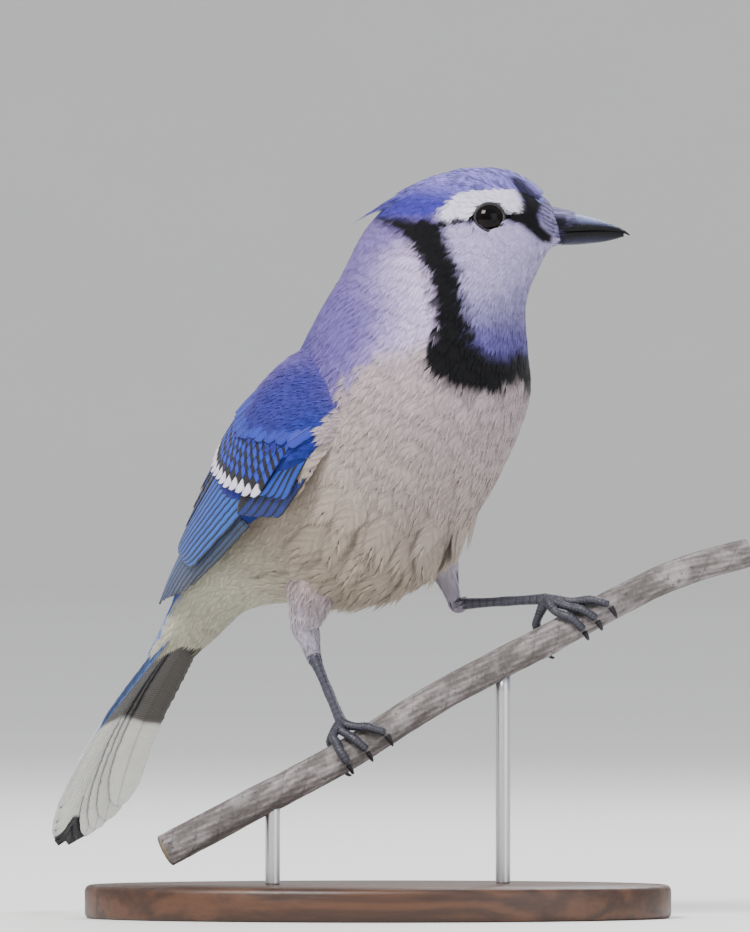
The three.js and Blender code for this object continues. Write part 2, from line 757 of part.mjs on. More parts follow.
add("torso", torso, "pale");
add("neck", neck, "violet");
add("head", head(), "blue");
add("bill_upper", billUpper, "bill");
add("bill_lower", billLower, "bill");
add("tail", tail(), "tail");
for (const [name, side] of [["right", -1], ["left", 1]]) {
  add(`eye_${name}`, ball(eyeAt(side), EYE.ball), "eye");
  add(`wing_${name}`, wing(side), "wing");
  const parts = leg(LEGS[name]);
  add(`thigh_${name}`, parts.thigh, "down");
  add(`tarsus_${name}`, parts.tarsus, "leg");
  add(`foot_${name}`, parts.foot, "leg");
  parts.claws.forEach((claw, i) => add(`claw_${name}_${i + 1}`, claw, "claw"));
}
add("perch", perch, "bark");
add("stand_base", basePlate(), "wood");
ROD_AT_X.forEach((x, i) => add(`stand_rod_${i + 1}`, rod(x), "steel"));

export default jay;
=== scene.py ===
# The look of a life-size blue jay on a cut branch and a plain stand.
# Shapes are worked out in millimetres, in the part's own frame, and become metres as each mesh is made.

import math

import bpy
import numpy as np
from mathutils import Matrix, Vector


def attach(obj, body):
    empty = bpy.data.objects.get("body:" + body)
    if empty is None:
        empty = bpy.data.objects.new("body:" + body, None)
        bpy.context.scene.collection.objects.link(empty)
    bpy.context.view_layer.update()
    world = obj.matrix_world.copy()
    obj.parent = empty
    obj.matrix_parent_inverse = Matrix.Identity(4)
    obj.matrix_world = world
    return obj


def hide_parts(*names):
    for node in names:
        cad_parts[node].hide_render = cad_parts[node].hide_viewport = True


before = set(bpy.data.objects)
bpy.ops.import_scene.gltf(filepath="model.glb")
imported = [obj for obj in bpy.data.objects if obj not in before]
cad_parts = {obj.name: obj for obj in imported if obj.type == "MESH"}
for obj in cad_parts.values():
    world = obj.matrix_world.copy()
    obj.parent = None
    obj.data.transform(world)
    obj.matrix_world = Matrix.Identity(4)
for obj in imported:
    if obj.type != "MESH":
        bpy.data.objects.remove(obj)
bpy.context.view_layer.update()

MM = 0.001
TAU = 2 * math.pi
rng = np.random.default_rng(20)

# The bird's own coordinates are s forward, l to its left and z up, from the neck's upright axis
BODY_YAW = math.radians(42)
NECK_AXIS = (18.6, -7.0)
EYE_S, EYE_Z, EYE_SURFACE, EYE_BALL, EYE_DEPTH = 14.1, 209.4, 15.4, 5.6, 3.9
CREST_LENGTH, WING_LENGTH, TAIL_LENGTH = 66.0, 122.0, 116.0

# The photo's frame seen as a plane through the bird: pixels to millimetres, for the markings
PIXEL = 0.3
PHOTO_ZERO = (378.0, 918.0)
PHOTO_SIZE = (750, 932)

# Stations of the plumage outline: s, z, pitch, up, down, half, turn, as in the solids
STATIONS = np.array([
    (-119, 68, 52, 1.2, 1.4, 8, 1),
    (-111, 77, 50, 3, 4, 9.5, 1),
    (-101, 87, 47, 7, 7, 10.8, 1),
    (-90, 98.5, 44, 11.5, 10.5, 13.5, 1),
    (-77.1, 108.9, 42, 17.5, 20, 20, 1),
    (-54.9, 118.2, 40, 27, 31.5, 27.5, 1),
    (-35.1, 130, 38, 34.5, 36.5, 32, 1),
    (-20.2, 146.1, 40, 37, 37, 34.5, 1),
    (-9.5, 160.2, 46, 36.5, 36, 35, 0.9),
    (-2.5, 172.5, 55, 34.5, 34, 33, 0.74),
    (-0.6, 182.4, 63, 31, 30, 29.5, 0.52),
    (1.2, 192.5, 67.5, 28, 26.5, 26, 0.24),
    (4.2, 198.9, 69, 27, 25, 23.5, 0.08),
    (7.5, 203.4, 66.5, 25.6, 23.8, 20.5, 0),
    (12, 207.6, 61, 23.8, 21.5, 17.8, 0),
    (17.4, 210.3, 54, 21.2, 18.2, 15.6, 0),
    (22.8, 211.2, 45, 18.3, 14.8, 13.8, 0),
    (27.4, 211.2, 35, 14, 12, 11.6, 0),
    (31.3, 210, 26, 10.4, 9.4, 9.2, 0),
    (35, 208.2, 17, 6.6, 7.2, 6.8, 0),
])
LAST = len(STATIONS) - 1


# Geometry

def mix(a, b, t):
    return a + (b - a) * t


def step(low, high, x):
    t = np.clip((x - low) / (high - low), 0, 1)
    return t * t * (3 - 2 * t)


def smooth(values, u):
    """A smooth value between the rows of a list, by Catmull-Rom, for an array of places u."""
    values = np.asarray(values, float)
    last = len(values) - 1
    k = np.clip(np.floor(u).astype(int), 0, last - 1)
    f = u - k
    a, b, c, d = (values[np.clip(k + i, 0, last)] for i in (-1, 0, 1, 2))
    if values.ndim > 1:
        f = f[..., None]
    return 0.5 * (2 * b + (c - a) * f + (2 * a - 5 * b + 4 * c - d) * f**2 + (3 * b - a - 3 * c + d) * f**3)


def place(s, l, z, yaw=BODY_YAW):
    """Bird coordinates to the part's frame."""
    x = NECK_AXIS[0] + s * np.cos(yaw) + l * np.sin(yaw)
    y = NECK_AXIS[1] + l * np.cos(yaw) - s * np.sin(yaw)
    return np.stack([x, y, z], -1)


def outline(u, angle, grow=0.0, mirrored=False):
    """A point of the plumage outline. mirrored gives the matching point of the bird's right side."""
    row = smooth(STATIONS, np.asarray(u, float))
    s, z, pitch, up, down, half, turn = np.moveaxis(row, -1, 0)
    pitch = np.radians(pitch)
    sin, cos = np.sin(angle), np.cos(angle)
    high = sin * (np.where(sin > 0, up, down) + grow)
    side = cos * (half + grow)
    if mirrored:
        side = -np.abs(side)
    return place(s - np.sin(pitch) * high, side, z + np.cos(pitch) * high, turn * BODY_YAW)


def unit(v):
    return v / np.maximum(np.linalg.norm(v, axis=-1, keepdims=True), 1e-9)


def run_along(points):
    """The distance along a line of points to each of them."""
    return np.concatenate([[0], np.cumsum(np.linalg.norm(np.diff(points, axis=0), axis=1))])


class Strip:
    """A curved band that vanes lie on: x along it, w across it and h above it, all in millimetres."""

    def __init__(self, length, centres, normals, radii, side=1, yaw=BODY_YAW):
        self.length, self.side, self.yaw = length, side, yaw
        self.centres, self.normals, self.radii = (np.array(v, float) for v in (centres, normals, radii))
        self.fine = np.linspace(0, len(centres) - 1, 400)
        run = run_along(smooth(self.centres, self.fine))
        self.share = run / run[-1]

    def __call__(self, x, w, h):
        x, w, h = np.broadcast_arrays(*(np.asarray(v, float) for v in (x, w, h)))
        t = np.clip(x / self.length, 0, 1)
        u = np.interp(t, self.share, self.fine)
        eps = 0.02
        ahead = np.minimum(u + eps, self.fine[-1])
        behind = np.maximum(u - eps, 0)
        along = unit(smooth(self.centres, ahead) - smooth(self.centres, behind))
        centre = smooth(self.centres, u) + along * (x - t * self.length)[..., None]
        out = smooth(self.normals, t * (len(self.normals) - 1))
        out = unit(out - along * np.sum(out * along, -1, keepdims=True))
        across = np.cross(along, out)
        r = smooth(self.radii, t * (len(self.radii) - 1))
        a = w / r
        ray = out * np.cos(a)[..., None] + across * np.sin(a)[..., None]
        p = centre - out * r[..., None] + ray * (r + h)[..., None]
        return place(p[..., 0], self.side * p[..., 1], p[..., 2], self.yaw)


# Meshes

def srgb(*c):
    c = np.array(c, float) / 255
    return np.where(c <= 0.04045, c / 12.92, ((c + 0.055) / 1.055) ** 2.4)


def mesh_object(name, points, faces, colour=None, uv=None, vane=None, mark=None):
    """A mesh object from millimetre points. faces is a list of arrays, each of triangles or of quads."""
    mesh = bpy.data.meshes.new(name)
    points = np.asarray(points, np.float32) * MM
    faces = [np.asarray(f, np.int32) for f in faces if len(f)]
    loops = np.concatenate([f.ravel() for f in faces])
    sizes = np.concatenate([np.full(len(f), f.shape[1], np.int32) for f in faces])
    mesh.vertices.add(len(points))
    mesh.vertices.foreach_set("co", points.ravel())
    mesh.loops.add(len(loops))
    mesh.loops.foreach_set("vertex_index", loops)
    mesh.polygons.add(len(sizes))
    mesh.polygons.foreach_set("loop_start", np.concatenate([[0], np.cumsum(sizes)[:-1]]).astype(np.int32))
    mesh.polygons.foreach_set("loop_total", sizes)
    mesh.polygons.foreach_set("use_smooth", np.ones(len(sizes), bool))
    mesh.update(calc_edges=True)
    if colour is not None:
        layer = mesh.color_attributes.new("Col", "FLOAT_COLOR", "POINT")
        layer.data.foreach_set("color", np.c_[colour, np.ones(len(colour))].astype(np.float32).ravel())
    for key, values in (("vane", vane), ("mark", mark)):
        if values is not None:
            layer = mesh.attributes.new(key, "FLOAT_VECTOR", "POINT")
            layer.data.foreach_set("vector", np.asarray(values, np.float32).ravel())
    if uv is not None:
        layer = mesh.uv_layers.new(name="OFBake")
        layer.data.foreach_set("uv", np.asarray(uv, np.float32)[loops].ravel())
    mesh.validate(clean_customdata=False)
    piece = bpy.data.objects.new(name, mesh)
    bpy.context.scene.collection.objects.link(piece)
    return piece


def grid_faces(rows, cols, wrap=False, start=0):
    k, j = np.meshgrid(np.arange(rows - 1), np.arange(cols if wrap else cols - 1), indexing="ij")
    k, j = k.ravel(), j.ravel()
    nxt = (j + 1) % cols
    return start + np.stack([k * cols + j, k * cols + nxt, (k + 1) * cols + nxt, (k + 1) * cols + j], 1)


def dress(piece, material, slot, *nodes):
    """Gives a piece its material and the body it rides on, and hides the nodes it stands for. slot is not
    used.
    """
    piece.data.materials.append(material)
    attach(piece, "root")
    if nodes:
        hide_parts(*nodes)
    return piece


def ring_grid(low, high, rows, cols):
    """Places of rows rings of cols points: how far along each point is, and its angle."""
    angles = np.linspace(0, TAU, cols, endpoint=False)
    return np.meshgrid(np.linspace(low, high, rows), angles, indexing="ij")


def ring_faces(rows, cols):
    """Faces of rings of points, with a fan at each end about the two points that follow the rings."""
    n, j = rows * cols, np.arange(cols)
    after = (j + 1) % cols
    first = np.stack([np.full(cols, n), after, j], 1)
    last = np.stack([np.full(cols, n + 1), n - cols + j, n - cols + after], 1)
    return [grid_faces(rows, cols, wrap=True), np.concatenate([first, last])]


def with_ends(points, cols):
    """Rings of points, then the middles of the first and the last ring."""
    points = points.reshape(-1, 3)
    return np.concatenate([points, [points[:cols].mean(0), points[-cols:].mean(0)]])


def end_rows(values):
    """The rings' values, then the first and the last of them for the middles."""
    return np.concatenate([values, values[:1], values[-1:]])


def tube_mesh(path, radii, sides, flat=1.0, rough=None):
    """A tube through points, closed at both ends, with an optional bump of its radius rough(t, angle)."""
    path, radii = np.asarray(path, float), np.asarray(radii, float)
    along = unit(np.gradient(path, axis=0))
    level = np.array([0, 0, 1.0]) if abs(along[0][2]) < 0.8 else np.array([0, 1.0, 0])
    across = unit(np.cross(along[0], level))
    angles = np.linspace(0, TAU, sides, endpoint=False)
    rings = []
    for k, p in enumerate(path):
        across = unit(across - along[k] * np.dot(across, along[k]))
        over = np.cross(along[k], across)
        r = radii[k] * (1 + (rough(k / (len(path) - 1), angles) if rough else 0))
        rings.append(p + np.outer(np.cos(angles) * r, across) + np.outer(np.sin(angles) * r * flat, over))
    return np.concatenate([*rings, path[:1], path[-1:]]), ring_faces(len(path), sides)


def resample(points, count):
    """Points spread evenly along a smooth curve through a few."""
    points = np.asarray(points, float)
    fine = smooth(points, np.linspace(0, len(points) - 1, count * 8))
    run = run_along(fine)
    at = np.linspace(0, run[-1], count)
    return np.stack([np.interp(at, run, fine[:, i]) for i in range(3)], 1)


def unwrap(across, along, margin=0.02):
    """Where places from 0 to 1 across and along a surface fall in its UV square."""
    return np.stack([across, along], -1).clip(0, 1) * (1 - 2 * margin) + margin


class Bag:
    """Gathers many small closed or open sheets into one mesh."""

    def __init__(self):
        self.parts, self.count = [], 0

    def add(self, points, faces, **layers):
        self.parts.append((points, [f + self.count for f in faces], layers))
        self.count += len(points)

    def build(self, name):
        points = np.concatenate([p for p, _, _ in self.parts])
        tri = [f for _, fs, _ in self.parts for f in fs if f.shape[1] == 3]
        quad = [f for _, fs, _ in self.parts for f in fs if f.shape[1] == 4]
        faces = [np.concatenate(group) for group in (tri, quad) if group]
        keys = self.parts[0][2].keys()
        layers = {key: np.concatenate([part[2][key] for part in self.parts]) for key in keys}
        return mesh_object(name, points, faces, **layers)


# Markings, as flat shapes seen from the bird's right side in the photo's pixels

WHITE = srgb(214, 208, 228)
FACE = srgb(166, 157, 196)
BLACK = srgb(7, 7, 12)
CREST_PALE = srgb(128, 119, 196)
CREST_BLUE = srgb(60, 54, 148)
NAPE = srgb(116, 101, 160)
NAPE_PALE = srgb(186, 170, 206)
THROAT = srgb(142, 134, 178)
THROAT_BLUE = srgb(84, 77, 138)
BREAST = srgb(158, 144, 148)
BELLY = srgb(148, 136, 122)
VENT = srgb(170, 168, 150)
MANTLE = srgb(98, 84, 148)
SCAPULAR = srgb(50, 50, 128)
SHOULDER_BLUE = srgb(32, 45, 126)
RUMP = srgb(50, 96, 190)
LORE_SPOT = srgb(140, 148, 216)
BRISTLE_PALE = srgb(132, 126, 168)
BRISTLE_DARK = srgb(40, 38, 58)
COBALT = srgb(12, 50, 176)
CERULEAN = srgb(18, 84, 176)
DEEP = srgb(16, 36, 104)
NAVY = srgb(8, 12, 26)
EDGE_GREY = srgb(30, 50, 80)
TAIL_BLUE = srgb(76, 134, 222)
TAIL_UNDER = srgb(62, 58, 54)
# The white of the tail's underside, greyed a little as painted shade.
WHITE_BELOW_PAINTED_SHADE = srgb(206, 206, 200)

COLLAR = [(368, 215), (390, 229), (405, 242), (419, 260), (428, 281), (433, 306), (434, 330), (427, 348),
          (424, 365), (434, 380), (449, 389), (475, 398), (500, 395), (514, 386), (540, 382), (540, 342),
          (519, 351), (500, 361), (480, 352), (471, 337), (466, 312), (461, 290), (462, 276), (455, 265),
          (449, 252), (443, 236), (444, 226), (430, 223), (406, 220)]
BROW = [(500, 178), (510, 181), (518, 194), (524, 214), (510, 218), (490, 220), (466, 221), (440, 222),
        (438, 212), (455, 196), (474, 186)]
EYE_LINE = [(512, 217), (490, 217), (466, 221), (440, 225), (418, 221)]
LORES = [(512, 178), (521, 181), (534, 190), (541, 204), (538, 218), (541, 227), (552, 237), (551, 244),
         (541, 243), (530, 234), (519, 225), (503, 222), (505, 214), (521, 212), (522, 200), (514, 188)]
LORE_SPOTS = [(531, 191), (539, 198)]
NOSE = [(536, 200), (548, 200), (580, 212), (580, 240), (556, 240), (545, 230), (538, 214)]
CREST_EDGE = [(575, 214), (548, 206), (526, 184), (505, 178), (474, 186), (455, 196), (441, 211), (425, 219),
              (376, 217), (300, 240), (300, 100), (600, 100)]
CHEEK = [(445, 222), (536, 222), (570, 240), (560, 262), (538, 276), (515, 290), (480, 296), (458, 288),
         (459, 270), (450, 256), (444, 240)]
BREAST_EDGE = [(425, 346), (398, 352), (366, 364), (344, 384), (318, 430), (268, 476), (205, 530), (140, 580),
               (100, 800), (700, 800), (700, 346)]


def edge_distance(line, x, y, closed=True):
    """Distance to a polyline, and whether each point is inside it where it is closed."""
    line = np.array(line, float)
    ends = np.roll(line, -1, 0) if closed else line[1:]
    starts = line if closed else line[:-1]
    best = np.full(x.shape, 1e9)
    inside = np.zeros(x.shape, bool)
    for (x0, y0), (x1, y1) in zip(starts, ends):
        dx, dy = x1 - x0, y1 - y0
        t = np.clip(((x - x0) * dx + (y - y0) * dy) / (dx * dx + dy * dy), 0, 1)
        best = np.minimum(best, np.hypot(x - x0 - t * dx, y - y0 - t * dy))
        if closed and y0 != y1:
            crosses = ((y0 > y) != (y1 > y)) & (x < dx * (y - y0) / dy + x0)
            inside ^= crosses
    return best, inside


def within(line, x, y, soft):
    """1 inside a closed shape, 0 outside, with an edge soft pixels wide."""
    distance, inside = edge_distance(line, x, y)
    return step(-soft, soft, np.where(inside, distance, -distance))


def blend(base, colour, share):
    return base + (colour - base) * np.asarray(share)[..., None]


def even(colour, like):
    """One colour for every row of an array."""
    return np.broadcast_to(colour, (len(like), 3))


def crown_colour(x, y):
    """Pale violet on top, bluer down to the eye line, seen in the photo's pixels."""
    return blend(CREST_PALE, CREST_BLUE, step(176, 206, y - (x - 440) * 0.12))


def photo_place(p):
    """Where a point seen from the bird's right falls in the photo."""
    return PHOTO_ZERO[0] + p[..., 0] / PIXEL, PHOTO_ZERO[1] - p[..., 2] / PIXEL


def spotted(colour, x, y, share=1.0):
    """A colour with the forehead's small pale spots."""
    for spot_x, spot_y in LORE_SPOTS:
        colour = blend(colour, LORE_SPOT, step(5, 2.5, np.hypot(x - spot_x, y - spot_y)) * share)
    return colour


def body_colour(u, x, y, back):
    """Nape, back and rump, with the underside inside the breast's edge. back is 1 up the back, -1 below."""
    collar_gap = edge_distance(COLLAR, x, y)[0]
    pale_neck = step(84, 10, collar_gap) * step(446, 438, x) * step(226, 246, y) * step(0.8, 0.25, back)
    colour = blend(NAPE, NAPE_PALE, pale_neck * 0.95)
    colour = blend(colour, MANTLE, step(10.6, 8.5, u) * step(-0.2, 0.3, back))
    colour = blend(colour, SCAPULAR, step(8.2, 6.5, u) * step(0.0, 0.45, back))
    colour = blend(colour, RUMP, step(5.5, 4, u) * step(0.0, 0.25, back))
    below = blend(blend(BREAST, BELLY, step(9, 5.5, u)), VENT, step(5.4, 3.8, u))
    belly = within(BREAST_EDGE, x, y, 9) * step(10.4, 10, u) * step(0.5, 0.2, back)
    belly = np.maximum(belly, step(9, 8.6, u) * step(0.05, -0.25, back))
    belly = np.maximum(belly, step(4.6, 3.6, u) * step(0.16, -0.02, back))
    return blend(colour, below, belly)


def markings(u, angle):
    """The plumage's colour at a place of the outline, the same on both sides."""
    x, y = photo_place(outline(u, angle, 0, mirrored=True))
    colour = body_colour(u, x, y, np.sin(angle))
    head = step(8.6, 9.4, u) * step(376, 364, y)
    in_front = step(448, 462, x) * step(235, 262, y)
    colour = blend(colour, blend(THROAT, THROAT_BLUE, step(300, 345, y)), head * in_front)
    colour = blend(colour, FACE, within(CHEEK, x, y, 7) * head)
    colour = blend(colour, crown_colour(x, y), within(CREST_EDGE, x, y, 3) * step(11, 12, u))
    colour = blend(colour, WHITE, within(BROW, x, y, 2.2) * step(12, 13, u))
    fine = np.sin(x * 0.9 + 2.5 * np.sin(y * 0.11)) * np.sin(y * 0.21 + x * 0.13)
    below_bill = step(30, 8, np.hypot(x - 545, (y - 256) * 1.3))
    colour = colour * (1 - (0.16 + 0.4 * below_bill) * np.clip(fine, 0, 1) * step(9, 10, u))[..., None]
    colour = blend(colour, BLACK, within(COLLAR, x, y, 2.0) * step(8, 8.4, u))
    eye_gap = edge_distance(EYE_LINE, x, y, closed=False)[0]
    colour = blend(colour, BLACK, step(3.4, 1.6, eye_gap) * step(11.5, 12.5, u))
    streaks = 0.5 + 0.5 * np.sin((y - (x - 540) * 0.38) * 1.5 + 1.2 * np.sin(x * 0.35))
    nose = blend(BRISTLE_PALE, BRISTLE_DARK, 0.85 * streaks)
    colour = blend(colour, nose, within(NOSE, x, y, 3) * step(14, 15, u))
    colour = blend(colour, BLACK, within(LORES, x, y, 2) * step(13, 14, u))
    return spotted(colour, x, y, step(14, 15, u))


# Body feathers are tapered tufts of barbs that lie along the outline. The three lists say how long, how wide
# and how deep in the coat they are at each station.
COAT_LENGTH = [9, 10, 12, 14, 16, 17, 17, 16, 15, 13.5, 12, 10.5, 9, 7.6, 6.4, 5.4, 4.6, 4, 3.4, 3]
COAT_WIDTH = [5, 5.5, 6, 7, 8, 8.5, 8.5, 8, 7.4, 6.6, 5.8, 5, 4.2, 3.5, 2.9, 2.5, 2.2, 1.9, 1.6, 1.3]
COAT_DEPTH = [0.5, 0.9, 1.6, 2, 2.4, 2.6, 2.6, 2.6, 2.5, 2.3, 2.1, 1.9, 1.7, 1.5, 1.3, 1.15, 1, 0.9, 0.8, 0.7]
ROW_STEP = 0.2  # of a tuft's length, from row to row
COLUMN_STEP = 0.42  # of a tuft's width, from one to the next
BARBS = 9
TUFT_TINTS = (0.35, 0.65, 0.95)  # places along a tuft whose colours come from the markings
TUFT_UV = 0.0013


def tuft_template():
    """t along, w across (-1 to 1), k rise and a shade for each vertex of one body feather, and its faces."""
    points, faces = [], []
    core = [(0.0, 0.3), (0.22, 0.56), (0.48, 0.62), (0.72, 0.42)]
    for t, w in core:
        points += [(t, -w, 0.0, 0.92), (t, 0.0, 0.1, 0.97), (t, w, 0.0, 0.92)]
    for k in range(len(core) - 1):
        for j in range(2):
            a = k * 3 + j
            faces += [(a, a + 1, a + 4), (a, a + 4, a + 3)]
    for side in (-1, 1):
        for i in range(BARBS):
            f = i / (BARBS - 1)
            t = mix(0.12, 0.72, f)
            end = t + mix(0.42, 0.3, f)
            reach = math.sqrt(max(1 - ((end - 0.5) / 0.56) ** 2, 0)) * mix(1.0, 0.75, f) + 0.04
            start = len(points)
            shade = 1.0 + 0.13 * math.sin(i * 2.4 + side)
            thin = 0.07
            points += [
                (t, side * 0.1, 0.08, shade),
                (t + 0.1, side * 0.02, 0.08, shade),
                (mix(t, end, 0.45), side * (reach * 0.72 + thin), 0.07, shade),
                (mix(t, end, 0.6), side * (reach * 0.72 - thin), 0.07, shade),
                (end, side * reach, 0.02, shade),
            ]
            faces += [(start, start + 1, start + 3), (start, start + 3, start + 2),
                      (start + 2, start + 3, start + 4)]
    return np.array(points), np.array(faces)


TUFT, TUFT_FACES = tuft_template()


def sow(u_low, u_high, keep):
    """Roots of the body feathers between two stations, in staggered rows."""
    angles = np.linspace(0, TAU, 181)
    ahead = 0.05
    roots, u, row = [], u_low, 0
    while u < u_high:
        ring = outline(np.full(len(angles), u), angles)
        run = run_along(ring)
        width = float(smooth(COAT_WIDTH, np.array([u]))[0]) * COLUMN_STEP
        count = max(int(run[-1] / width), 8)
        at = (np.arange(count) + 0.5 * (row % 2) + rng.uniform(-0.3, 0.3, count)) / count
        angle = np.interp((at % 1) * run[-1], run, angles)
        next_ring = outline(np.full(len(angles), u + ahead), angles)
        per_station = np.linalg.norm(next_ring - ring, axis=1).mean() / ahead
        row_step = float(smooth(COAT_LENGTH, np.array([u]))[0]) * ROW_STEP / per_station
        roots.append(np.stack([u + row_step * rng.uniform(-0.35, 0.35, count), angle], 1))
        u += row_step
        row += 1
    roots = np.concatenate(roots)
    roots[:, 0] = np.clip(roots[:, 0], 0.02, LAST - 0.01)
    return roots[keep(roots[:, 0], roots[:, 1])]


def speed(u_root, angle):
    """Millimetres of outline for one station and for one radian, a little behind each root."""
    e = 0.02
    u = np.clip(u_root - 0.3, 0.05, LAST - 0.05)
    along = np.linalg.norm(outline(u + e, angle) - outline(u - e, angle), axis=-1) / (2 * e)
    around = np.linalg.norm(outline(u, angle + e) - outline(u, angle - e), axis=-1) / (2 * e)
    return np.maximum(along, 1), np.maximum(around, 2)


def tuft_mesh(name, points, colours, root_uv):
    """One mesh of many tufts, each unwrapped as a small patch at its root."""
    patch = np.stack([TUFT[:, 1], TUFT[:, 0] - 0.5], -1) * TUFT_UV
    uv = root_uv[:, None, :] + patch
    faces = (TUFT_FACES[None] + (np.arange(len(points)) * len(TUFT))[:, None, None]).reshape(-1, 3)
    return mesh_object(name, points.reshape(-1, 3), [faces], colour=np.clip(colours.reshape(-1, 3), 0, 1),
                       uv=uv.reshape(-1, 2))


def coat(name, roots, slot, lift=0.0, longer=1.0, ruffle=1.0, droop=0.0):
    """One mesh of body feathers at the given roots."""
    u0, a0 = roots[:, 0], roots[:, 1]
    n = len(u0)
    length = smooth(COAT_LENGTH, u0) * rng.uniform(0.82, 1.18, n) * longer
    width = smooth(COAT_WIDTH, u0) * rng.uniform(0.85, 1.15, n) / 2
    depth = smooth(COAT_DEPTH, u0)[:, None]
    along, around = speed(u0, a0)
    stations = length / along
    t, w, k, shade = (TUFT[:, i][None, :] for i in range(4))
    sway = rng.normal(0, 0.09, n)[:, None] * ruffle
    tilt = rng.normal(0, 0.06, n)[:, None] * ruffle
    bend = rng.uniform(0.0, 0.08, n)[:, None] * ruffle
    u = np.maximum(u0[:, None] - t * stations[:, None], 0)
    a = a0[:, None] + (w * width[:, None] + sway * length[:, None] * t**1.4) / around[:, None]
    rise = -depth * (1 - t**0.28) + (k + tilt * w * 0.5) * depth * 0.22 - 0.1 * depth
    rise = rise + (lift + (bend + droop) * t**2) * depth
    root, middle, tip = (markings(np.clip(u0 - k * stations, 0, LAST), a0)[:, None] for k in TUFT_TINTS)
    share = ((t - TUFT_TINTS[0]) / (TUFT_TINTS[1] - TUFT_TINTS[0]))[..., None]
    colours = mix(mix(root, middle, share.clip(0, 1)), tip, (share - 1).clip(0, 1))
    streak = 1 + 0.1 * (t - 0.5) - 0.08 * np.abs(w)
    colours = colours * (shade * streak)[..., None] * rng.uniform(0.91, 1.06, n)[:, None, None]
    root_uv = unwrap(a0 / TAU % 1, u0 / LAST, margin=0.01)
    return dress(tuft_mesh(name, outline(u, a, rise), colours, root_uv), COAT, slot)


# Node materials

def feed(tree, slot, value):
    """Gives a node's input a Sock, another node's output, three numbers of a colour or one number."""
    if isinstance(value, Sock):
        value = value.socket
    if isinstance(value, bpy.types.NodeSocket):
        tree.links.new(value, slot)
    else:
        slot.default_value = (*value, 1) if np.ndim(value) else value


class Sock:
    """A number in a node tree, with arithmetic."""

    def __init__(self, tree, socket):
        self.tree, self.socket = tree, socket

    def maths(self, kind, *others):
        node = self.tree.nodes.new("ShaderNodeMath")
        node.operation = kind
        for slot, value in zip(node.inputs, (self, *others)):
            feed(self.tree, slot, value)
        return Sock(self.tree, node.outputs[0])

    def __add__(self, other):
        return self.maths("ADD", other)

    def __sub__(self, other):
        return self.maths("SUBTRACT", other)

    def __mul__(self, other):
        return self.maths("MULTIPLY", other)

    def __truediv__(self, other):
        return self.maths("DIVIDE", other)

    def sine(self):
        return self.maths("SINE")

    def size(self):
        return self.maths("ABSOLUTE")

    def larger(self, other):
        return self.maths("MAXIMUM", other)

    def ramp(self, low, high):
        """0 below low, 1 above high, or the other way round."""
        node = self.tree.nodes.new("ShaderNodeMapRange")
        node.interpolation_type = "SMOOTHSTEP"
        flip = low > high
        for i, value in zip((1, 2, 3, 4), (min(low, high), max(low, high), float(flip), float(not flip))):
            node.inputs[i].default_value = value
        self.tree.links.new(self.socket, node.inputs[0])
        return Sock(self.tree, node.outputs[0])


class Material:
    """A node material with short calls for what its colour, roughness and bump are made of."""

    def __init__(self, name, roughness=0.6, **fixed):
        self.material = bpy.data.materials.new(name)
        self.material.use_nodes = True
        self.tree = self.material.node_tree
        self.shader = self.tree.nodes["Principled BSDF"]
        self.shader.inputs["Roughness"].default_value = roughness
        for key, value in fixed.items():
            self.shader.inputs[key.replace("_", " ")].default_value = value

    def node(self, kind, **settings):
        node = self.tree.nodes.new(kind)
        for key, value in settings.items():
            setattr(node, key, value)
        return node

    def textured(self, kind, stretch, **values):
        """A texture node over object coordinates in millimetres, stretched."""
        coords = self.node("ShaderNodeTexCoord")
        mapping = self.node("ShaderNodeMapping")
        mapping.inputs["Scale"].default_value = [k / MM for k in stretch]
        feed(self.tree, mapping.inputs["Vector"], coords.outputs["Object"])
        node = self.node(kind)
        feed(self.tree, node.inputs["Vector"], mapping.outputs[0])
        for key, value in values.items():
            node.inputs[key].default_value = value
        return node

    def noise(self, scale, detail=3.0, stretch=(1, 1, 1), roughness=0.55):
        node = self.textured("ShaderNodeTexNoise", stretch, Scale=scale, Detail=detail, Roughness=roughness)
        return Sock(self.tree, node.outputs["Fac"])

    def voronoi(self, scale):
        node = self.textured("ShaderNodeTexVoronoi", (1, 1, 1), Scale=scale)
        return Sock(self.tree, node.outputs["Distance"])

    def attribute(self, name, output="Vector"):
        return self.node("ShaderNodeAttribute", attribute_name=name).outputs[output]

    def painted(self):
        """The colours that the mesh carries."""
        return self.attribute("Col", "Color")

    def parts(self, name):
        """The three numbers of a vector attribute."""
        split = self.node("ShaderNodeSeparateXYZ")
        feed(self.tree, split.inputs[0], self.attribute(name))
        return [Sock(self.tree, s) for s in split.outputs]

    def blend(self, a, b, share):
        """A colour between two, each a socket or three numbers."""
        node = self.node("ShaderNodeMix", data_type="RGBA", clamp_factor=True)
        for slot, value in ((node.inputs[6], a), (node.inputs[7], b), (node.inputs[0], share)):
            feed(self.tree, slot, value)
        return node.outputs[2]

    def shade(self, colour, factor):
        """A colour made darker or lighter by a number."""
        node = self.node("ShaderNodeVectorMath", operation="SCALE")
        feed(self.tree, node.inputs[0], colour)
        feed(self.tree, node.inputs["Scale"], factor)
        return node.outputs[0]

    def set(self, colour, roughness=None, bump=None, height=0.0001):
        """Connects what was worked out to the shader, and gives the finished material."""
        feed(self.tree, self.shader.inputs["Base Color"], colour)
        if roughness is not None:
            feed(self.tree, self.shader.inputs["Roughness"], roughness)
        if bump is not None:
            node = self.node("ShaderNodeBump")
            node.inputs["Distance"].default_value = height
            feed(self.tree, node.inputs["Height"], bump)
            feed(self.tree, self.shader.inputs["Normal"], node.outputs[0])
        return self.material


